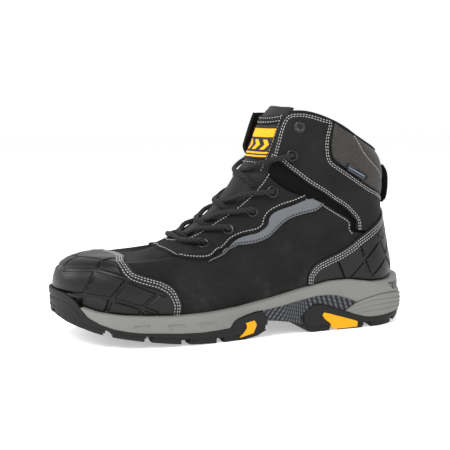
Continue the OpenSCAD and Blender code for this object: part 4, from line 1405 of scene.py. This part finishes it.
def subdivide(piece):
    """Makes one level of a subdivision surface final."""
    modifier = piece.modifiers.new("smooth", "SUBSURF")
    modifier.levels = modifier.render_levels = 1
    mesh = made_final(piece)
    piece.modifiers.remove(modifier)
    old, piece.data = piece.data, mesh
    bpy.data.meshes.remove(old)
    mesh.name = piece.name
    mesh.shade_smooth()


def press(piece, curves, depth, spread):
    """Presses seams into the side of a soft piece that faces them."""
    co = coordinates(piece.data)
    normals = np.array([v.normal for v in piece.data.vertices])
    gap = nearness(co * 1000, curves)
    co = co - normals * (depth / 1000 * np.exp(-(gap / spread) ** 2))[:, None]
    piece.data.vertices.foreach_set("co", co.ravel())
    piece.data.update()


print("soft tools ready")

# %% Collar
COLLAR_LOW = [(86.9, 7.96), (87.4, 7.66), (88.4, 7.47), (91.6, 7.26), (97.2, 7.14),
              (104.6, 7.01), (112.6, 6.84), (122.6, 6.59), (133.6, 6.29), (143.5, 6.06),
              (152.5, 5.84), (163.3, 5.56), (172, 5.46), (180, 5.42)]
COLLAR_TOP = [(a, 8) for a in (87.6, 92, 97, 103, 109, 115, 122, 130, 138, 146, 154,
                               163, 172, 180)]


def pad(phi, k, across):
    return (0.1 + 1.4 * np.sin(np.pi * np.clip(across, 0, 1))
            - 2.6 * ease((across - 0.72) / 0.28) ** 2)


collar = panel("collar_padding", both_back(COLLAR_LOW), both_back(COLLAR_TOP), pad, -4.6,
               COLLAR_CLOTH, "cuff", step=3.0, rows=14, edge=1.6)
co = coordinates(collar.data) * 1000 - CENTRE
edge_line = lines(trace(both_back(COLLAR_LOW)), trace(both_back(COLLAR_TOP)))
puff(collar, nearness(co, edge_line) < 2.6, 2.2)
subdivide(collar)
COLLAR_SEAM = [(109, 8), (116.5, 7.68), (128.5, 7.37), (145.6, 7.0), (161, 6.5),
               (180, 6.3)]
seam_points = [upper(q[:, 0], q[:, 1], 1.4) + CENTRE
               for q in both_heel(trace(COLLAR_SEAM))]
press(collar, seam_points, 1.0, 1.7)
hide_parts("collar")
tree = tree_of(coordinates(collar.data) * 1000)


def onto(points, lift):
    """Points moved onto the nearest surface of the collar, lifted off it."""
    normals = [collar.data.vertices[tree.find(Vector(p))[1]].normal for p in points]
    near = np.array([tree.find(Vector(p))[0] for p in points])
    n = np.array(normals)
    off = np.sum((points - near) * n, axis=1, keepdims=True)
    return points - n * (off - lift)


for points in seam_points:
    note("cuff", "pale", onto(points, 0.1))

# %% [markdown]
# A dark tape binds the top line. It is a thin roll that follows the edge of the
# wings and the collar from one side of the throat to the other.

# %% Top binding
rim = np.array([(a, 8.0) for a in np.linspace(43, 317, 400)])
to_back = ease((180 - np.abs(180 - rim[:, 0]) - 84) / 30)
rim[:, 1] -= 0.03 * to_back
rim_line = upper(rim[:, 0], rim[:, 1], -1.3 - 1.5 * to_back)
tube("top_binding", rim_line, 1.5 - 0.2 * to_back, 12, BINDING, "cuff")

# %% Tongue
def wing(phi):
    return ease((np.abs(phi) - 10) / 16)


def tongue_face(phi, k, across=0.5):
    under_lace = ease((k - 4.75) / 0.3) * ease((7.0 - k) / 0.25)
    return (-2.4 - (4.8 - 3.6 * ease((k - 6.75) / 0.35)) * wing(phi)
            + under_lace * (2.0 + 0.9 * wing(phi))
            - 3.2 * ease((across - 0.9) / 0.1) ** 2)


def tongue_back(phi, k, across):
    return -8.2 - 1.6 * wing(phi) - 1.2 * ease((across - 0.94) / 0.06)


TONGUE_LOW = [(i * 6.2, 4.52) for i in range(-7, 8)]
TONGUE_TOP = [(i * 6.2, 8.3 - 0.0035 * i * i) for i in range(-7, 8)]
tongue = panel("tongue_padding", TONGUE_LOW, TONGUE_TOP, tongue_face, tongue_back,
               TONGUE_CLOTH, "tongue", step=2.2, rows=46, edge=1.5)
co = coordinates(tongue.data) * 1000 - CENTRE
border = lines(trace(TONGUE_LOW), trace(TONGUE_TOP),
               *both(trace([(43.4, 4.52), (43.4, 8.1)])))
label_spots = lines(*[np.array([(a, k)]) for a in range(-30, 31, 6)
                      for k in np.linspace(7.0, 8.05, 12)])
calm = ease((nearness(co, label_spots) - 8) / 5)
puff(tongue, nearness(co, border) < 2.4, 0.15 + 1.4 * calm, 3.0)
subdivide(tongue)
co = coordinates(tongue.data) * 1000
path = tree_of(route + CENTRE)
outward = np.array([v.normal for v in tongue.data.vertices])
clear = np.array([path.find(Vector(c))[2] for c in co])
co = co - outward * np.maximum(LACE_R + 0.45 - clear, 0)[:, None]
tongue.data.vertices.foreach_set("co", (co / 1000).ravel())
tongue.data.update()
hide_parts("tongue")

# %% [markdown]
# ## Labels
# A leather patch and a woven label sit on the tongue, and a small woven tag on the
# collar's edge. Their words are left out: the label keeps its bands of colour, with
# plain chevrons where letters would be, and the tag has plain bars.

# %% Label finishes
def banded(name, size, bands, marks=None, base=(0.016, 0.017, 0.02, 1),
           ink=(0.92, 0.43, 0.01, 1)):
    """Bands across a woven label, from its lower edge up, and a row of chevrons."""
    f = Finish(name)
    u, v, _ = f.axes(f.place("UV"))

    def between(low, high):
        return (f.span(v, (low - 0.15) / 1000, (low + 0.15) / 1000)
                * (1 - f.span(v, (high - 0.15) / 1000, (high + 0.15) / 1000)))

    inked = 0.0
    for low, high in bands:
        inked = between(low, high) + inked
    if marks:
        low, high, pitch = marks
        inside = between(low, high)
        fold = f.node("ShaderNodeMath", {"operation": "PINGPONG"},
                      {0: v - low / 1000, 1: (high - low) / 2000})
        chevron = f.wave(u - fold * 0.8, 1000 / pitch)
        inked = inked + inside * f.span(chevron, 0.45, 0.6)
    weave = f.wave(u, 1500) * f.wave(v, 1500)
    side_margin = (f.span(u, 0.001, 0.0014)
                   * (1 - f.span(u, (size - 1.4) / 1000, (size - 1) / 1000)))
    inked = inked * side_margin
    colour = f.mix(inked, base, ink)
    colour = f.mix(weave * 0.35, colour, (0.004, 0.004, 0.004, 1))
    return f.surface(colour, 0.75, f.bump(weave + inked * 1.5, 0.00018, 0.6),
                     specular_ior_level=0.3)


LABEL = banded("tongue_label_weave", 47, [(1.4, 2.9), (4.3, 5.9), (19.0, 26.6)],
               (8.0, 16.8, 9.0))
TAG = banded("side_tag_weave", 21, [(0.5, 0.9), (4.6, 5.0), (2.1, 3.3)], None,
             (0.005, 0.0055, 0.007, 1), (0.16, 0.19, 0.23, 1))
print("labels made")

# %% Patch, label and tag
def off_face(out):
    return lambda phi, k, across: tongue_face(phi, k) + out


def strip_curve(k):
    """A line straight across the tongue."""
    return [(i * 5.5, k) for i in range(-6, 7)]


def tongue_seam(row, out):
    note("tongue", "pale", upper(row[:, 0], row[:, 1],
                                 tongue_face(row[:, 0], row[:, 1]) + out) + CENTRE)


patch_rows = [trace(strip_curve(7.96)), trace(strip_curve(7.87))]
patch = panel("tongue_patch_leather", strip_curve(7.83), strip_curve(8.0),
              off_face(1.5), off_face(0.3), STAY_LEATHER, "tongue", step=1.2,
              rows=10, edge=0.6, dents=[(lines(*patch_rows), 0.2, 0.6)])
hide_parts("tongue_patch")
for row in patch_rows:
    tongue_seam(row, 1.55)
label = panel("tongue_label_woven", strip_curve(7.1), strip_curve(7.81), off_face(1.5),
              off_face(0.3), LABEL, "tongue", step=1.2, rows=24,
              edge=0.5)
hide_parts("tongue_label")
tongue_seam(trace(strip_curve(7.02)), 0.75)
for side in (33.6, -33.6):
    tongue_seam(np.array([(side, k) for k in np.linspace(6.86, 7.98, 60)]), 0.75)
tag = panel("side_tag_woven", [(103, 6.98), (110, 6.86), (117, 6.72), (123.6, 6.58)],
            [(103.7, 7.17), (111, 7.04), (118.5, 6.9), (125.8, 6.75)], 3.0, 2.2, TAG,
            "cuff", step=0.8, rows=12, edge=0.4)
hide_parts("side_tag")

# %% [markdown]
# ## Pull tab
# A loop of webbing stands off the heel. Its middle line is swept as a flat strip with
# rolled edges, and its ends run down behind the guard and under the collar.

# %% Pull tab
TAB_LINE = [(136.6, 104.2), (139.5, 107.4), (140.7, 112), (141.3, 120), (140.9, 127.6),
            (139.4, 132.2), (136.6, 136.4)]
TAB_WIDTH, TAB_THICK = 20, 1.8
TAB_STEPS, TAB_SIDES = 60, 32
tab_share = np.linspace(0, 1, TAB_STEPS)
centre_line = curve_at(TAB_LINE, tab_share)
heading = unit(np.gradient(centre_line, axis=0))
across_tab = np.stack([-heading[:, 1], heading[:, 0]], -1)
corner = np.linspace(0, 2 * np.pi, TAB_SIDES + 1)[:-1]
ring_y = np.sign(np.cos(corner)) * np.abs(np.cos(corner)) ** 0.25 * TAB_WIDTH / 2
ring_t = np.sign(np.sin(corner)) * np.abs(np.sin(corner)) ** 0.6 * TAB_THICK / 2
tab_points, tab_uv = [], []
for c, w, run in zip(centre_line, across_tab, lengths(centre_line)):
    ribs = 0.12 * np.cos(ring_y * 2.2)
    offset = w[None, :] * (ring_t + np.sign(ring_t) * ribs)[:, None]
    tab_points.append(np.stack([c[0] + offset[:, 0], ring_y, c[1] + offset[:, 1]], -1))
    tab_uv.append(np.stack([np.full(TAB_SIDES, run), ring_y], -1))
tab = add_mesh("pull_tab_webbing", np.vstack(tab_points) + CENTRE,
               ring_faces(TAB_STEPS, TAB_SIDES), WEBBING, "cuff",
               np.vstack(tab_uv))
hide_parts("pull_tab")
print("pull tab is", round(lengths(centre_line)[-1]), "mm long")

# %% [markdown]
# ## Linings
# The inside is a knitted sock in two parts, one in the boot and one in the cuff.

# %% Linings
LINING_TOP = [(0, 4.1), (16, 4.05), (32, 3.95), (46, 3.95), (55, 4.4), (61, 5.1),
              (65, 5.7), (80, 5.92), (97, 5.6), (111, 5.05), (122, 4.4), (128, 3.7),
              (134, 2.95), (150, 2.9), (165, 3), (179.6, 3.05)]
LINING_FOOT = [(a, 0.2) for a in (0, 11, 22, 33, 43, 52, 61, 70, 81, 94, 107, 119, 131,
                                  147, 163, 179.6)]
KNIT_OUT, KNIT_IN = -5.0, -6.4
sock = panel("lining_knit", both_front(LINING_FOOT), both_front(LINING_TOP), KNIT_OUT,
             KNIT_IN, LINING_CLOTH, "boot", step=3.0, rows=26, edge=0.5)
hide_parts("lining")
CUFF_LINING_LOW = [(64, 6.93), (73, 6.76), (84, 6.5), (97, 6.16), (111, 5.65),
                   (122, 5.12), (131, 4.55), (137, 3.9), (150, 3.7), (165, 3.8),
                   (180, 3.9)]
cuff_sock = panel("cuff_lining_knit", both_back(CUFF_LINING_LOW),
                  [(64 + i * 11.6, 7.97) for i in range(21)], KNIT_OUT, KNIT_IN,
                  LINING_CLOTH, "cuff", step=3.0, rows=16, edge=0.5)
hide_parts("cuff_lining")

# %% [markdown]
# ## The sole's side
# The CAD keeps the tread. Over it come the parts that are seen from the side: a grey
# foam midsole with a rounded rim, a ribbed heel block, the black rubber with its toe
# bumper and its two shields, and the yellow inserts. They are drawn in the side view
# and laid round the outline.

# %% Midsole
FOAM_LINE = [(-139, 31.6), (-134, 24.4), (-126, 19.5), (-116, 15.8), (-105, 13.6),
             (-94, 12.3), (-65, 10.3), (-46, 9.7), (-33, 10.1), (-20.5, 11),
             (-19, 15), (-16, 17.3), (-8, 19.8), (2, 22), (10, 22.2), (23, 24.1),
             (44, 28.1), (59, 30.3), (69, 30.4), (78, 29.2), (87, 26.5), (97, 22.2),
             (107, 25), (119, 27.3), (133, 27.2), (145, 25.5), (157, 22.7)]
FOAM_START = -138.9
first_turn = float(np.interp(FOAM_START, reach_x, turns))
stations = np.concatenate([np.linspace(first_turn, 75, 70), np.linspace(76, 180, 80)])
station_x = np.interp(stations, turns, reach_x)


def pairs(angles, heights):
    return [(float(a), float(z)) for a, z in zip(angles, heights)]


def band(points):
    return both_back(pairs(stations, level_line(points, station_x)))


SQUARES = [[(-98, 12.2), (-102, 19.4), (-89, 19.4), (-85.5, 12.2)],
           [(-71, 11), (-75, 18.6), (-60.5, 18.6), (-57.5, 11)],
           [(-45, 10.4), (-49, 18.4), (-34.5, 18.4), (-31, 10.4)]]


def moulded_squares(xyz, q):
    """Shallow four-sided pockets with a crisp upper edge."""
    x, z = xyz[..., 0], xyz[..., 2]
    height = np.zeros_like(x)
    for a, b, c, d in SQUARES:
        lean = (b[0] - a[0]) / (b[1] - a[1])
        left = x - (a[0] + lean * (z - a[1]))
        right = (d[0] + lean * (z - d[1])) - x
        inside = np.minimum(np.minimum(left, right), np.minimum(b[1] - z, z - a[1] + 2))
        height -= 1.1 * ease(inside / 0.7) * (1 - 0.6 * ease((b[1] - z) / 8))
    return height


def heel_tuck(phi, z, out):
    """The foam draws in a little above the ribbed block at the back."""
    back = 180 - np.abs(180 - phi % 360)
    return out - 2.6 * ease((back - 148) / 24) * ease((z - 25) / 5)


midsole = panel("midsole_foam", band(FOAM_LINE), band(RIM_TOP),
                lambda phi, z, across: heel_tuck(phi, z, 0.8), -8.5, FOAM, "boot",
                surface=wall, step=1.3, rows=34, edge=1.7, ends=False,
                relief=moulded_squares, crown=0.5)
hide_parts("midsole")

# %% Ribbed heel block
HEEL_LOW = [(86.4, 15.6), (96, 12.1), (107, 9.3), (119, 8.9), (133, 9.7), (144, 10.7),
            (154.6, 13.3)]
HEEL_HIGH = [(87.4, 16.6), (97, 22.0), (107, 25), (119, 27.3), (133, 27.2),
             (145, 25.5), (154.9, 23)]
RIBS = [[(90, 17.6), (100, 20.2), (112, 22.8), (126, 23.4), (140, 22.2), (154.8, 20)],
        [(92, 15.2), (106, 17.6), (120, 19.3), (134, 19), (145, 18), (154.8, 17)],
        [(98, 13.2), (112, 14.4), (126, 15), (138, 14.6), (147, 14.4), (154.7, 14.6)]]
rib_lines = lines(*both_heel(*[trace(from_side(rib), surface=wall, step=0.7)
                               for rib in RIBS]), surface=wall)
panel("midsole_heel_ribs", both_back(from_side(HEEL_LOW)),
      both_back(from_side(HEEL_HIGH)), 1.7, -6.0, FOAM, "boot", surface=wall,
      step=1.0, rows=40, edge=1.1, dents=[(rib_lines, 0.9, 0.75)], crown=0.5)

# %% [markdown]
# The rubber is thickest at the toe, where a bumper with two lips climbs over the
# guard, and at the two shields that hold the yellow inserts.

# %% Rubber sides
FORE_FLOOR = [(-158, 26), (-153, 22.6), (-148, 19.4), (-142, 17), (-136, 15),
              (-130, 12.9), (-122, 10.8), (-114, 9.2), (-104, 7.5), (-94, 5.9),
              (-84, 4.4), (-74, 3), (-62, 1.8), (-48, 0.8), (-34, 0.2), (-26, 0),
              (-8, 0), (4, 2), (12, 6)]
FORE_TOP = [(-158, 44), (-150, 42.4), (-146, 40), (-142, 36.2), (-139, 31.5),
            (-134, 24.6), (-126, 19.7), (-116, 16), (-105, 13.8), (-94, 12.5),
            (-65, 10.5), (-46, 9.9), (-33, 10.3), (-20.5, 11.2), (-19, 15),
            (-16, 17.4), (-8, 19.8), (2, 22), (7, 22.3), (13, 15.4)]
HEEL_FLOOR = [(46, 5), (50, 1.2), (54, 0), (124, 0), (134, 1), (143, 4), (152, 9),
              (158, 16)]
HEEL_TOP = [(44, 14.4), (46, 16.2), (56, 23.8), (63, 23.3), (73, 19.9), (86, 15.6),
            (96, 12), (107, 9.2), (119, 8.8), (133, 9.6), (144, 10.6), (154, 13),
            (158, 17)]
LUG = 4.4
fore_turns = np.concatenate([np.linspace(0, 40, 60), np.linspace(
    40.5, float(np.interp(12.8, reach_x, turns)), 110)])
heel_turns = np.linspace(float(np.interp(46, reach_x, turns)), 180, 110)


def rubber_band(angles, floor_line, top_line, join):
    x = np.interp(angles, turns, reach_x)
    top = level_line(top_line, x)
    low = np.minimum(level_line(floor_line, x) + LUG, top - 2.2)
    return join(pairs(angles, low)), join(pairs(angles, top))


def bumper(xyz, q):
    """Two lips over the toe, and a thicker shield behind the ball."""
    x, z = xyz[..., 0], xyz[..., 2]
    below = level_line(FORE_TOP, x) - z
    at_toe = ease((-134 - x) / 8)
    lip = 1 - ease((below - 5.2) / 0.9)
    gap = np.exp(-((below - 6.6) / 0.8) ** 2)
    low_lip = np.exp(-((below - 13.0) / 0.7) ** 2)
    shield = ease((x + 21) / 3)
    return at_toe * (0.3 * lip - 1.5 * gap - 0.8 * low_lip - 0.3) + 0.8 * shield


def heel_shield(xyz, q):
    x = xyz[..., 0]
    return 0.8 * ease((92 - x) / 16)


SIDE_OUT, SIDE_IN = 0.9, -1.5
low, high = rubber_band(fore_turns, FORE_FLOOR, FORE_TOP, both_front)
panel("outsole_side_forefoot", low, high, SIDE_OUT, SIDE_IN, RUBBER, "boot",
      surface=wall, step=1.0, rows=30, edge=0.8, relief=bumper)
low, high = rubber_band(heel_turns, HEEL_FLOOR, HEEL_TOP, both_back)
panel("outsole_side_heel", low, high, SIDE_OUT, SIDE_IN, RUBBER, "boot",
      surface=wall, step=1.0, rows=22, edge=0.8, relief=heel_shield)

# %% Yellow inserts and heel clip
INSERTS = {
    "insert_forefoot": ([(-13.4, 2.6), (-9.3, 7), (-7.2, 10), (-8, 14)],
                        [(-1, 4.9), (0.4, 8), (1.9, 11.5), (0, 15.3)]),
    "insert_heel": ([(63.3, 13.8), (66, 10.2), (71, 6.3), (73.5, 2), (85, 1.2),
                     (96.8, 1.6)],
                    [(64.6, 16.3), (70, 14.9), (77, 12.7), (84, 10.5), (91, 8.3),
                     (97, 6.2)])}
for name, (low, high) in INSERTS.items():
    for side_name, turn in SIDES:
        insert = panel(f"{name}_{side_name}_moulded", turned(from_side(low), turn),
                       turned(from_side(high), turn), 2.4, -1.6, YELLOW, "boot",
                       surface=wall, step=0.7, rows=16, edge=0.7, crown=0.2)
        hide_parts(f"{name}_{side_name}")
CLIP_LOW = [(129.6, 35.4), (134, 31.2), (139, 29.4), (147, 28.8), (154.9, 28.3)]
CLIP_HIGH = [(128.8, 36.6), (134, 36.5), (141, 36.2), (149, 35.7), (154.9, 35.3)]
clip = panel("heel_clip_woven", both_back(from_side(CLIP_LOW)),
             both_back(from_side(CLIP_HIGH)),
             lambda phi, z, across: heel_tuck(phi, z, 1.5), -3.4, RIBBED, "boot",
             surface=wall, step=0.9, rows=14, edge=0.7)
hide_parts("heel_clip")

# %% [markdown]
# ## Hidden parts and tread
# The steel cap, the plate, the boards, the footbed and the tread keep their CAD
# shapes and get their finishes.

# %% CAD parts that stay
STAYING = {"outsole_forefoot": RUBBER, "outsole_heel": RUBBER,
           "arch_stabiliser": RIBBED, "puncture_plate": STEEL, "insole_board": BOARD,
           "footbed": FOOTBED_CLOTH, "toe_cap": STEEL, "heel_counter": COUNTER}
for name, finish in STAYING.items():
    for material_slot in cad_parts[name].material_slots:
        material_slot.material = finish
shown = [n for n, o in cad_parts.items() if not o.hide_render]
print("CAD parts that stay:", sorted(shown))

# %% [markdown]
# ## Sewing
# All the seams noted above are laid now, one piece for each body and thread.

# %% Sew
for body, thickness in (("boot", 0.0008), ("cuff", 0.00076), ("tongue", 0.00072)):
    sew(body, "pale", PALE_THREAD, 0.0025, 0.00185, thickness)
sew("boot", "dark", DARK_THREAD, 0.0026, 0.0016, 0.0013)

# %% [markdown]
# ## Finish
# The box of the finished boot is kept beside the CAD's, to see that looks did not
# change the size.

# %% Size and finish
total = sum(sum(len(f.vertices) - 2 for f in o.data.polygons) for o in pieces.values())
print("triangles:", total)
low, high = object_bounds()
{"cad": [list(cad_low), list(cad_high)], "visual": [list(low), list(high)]}
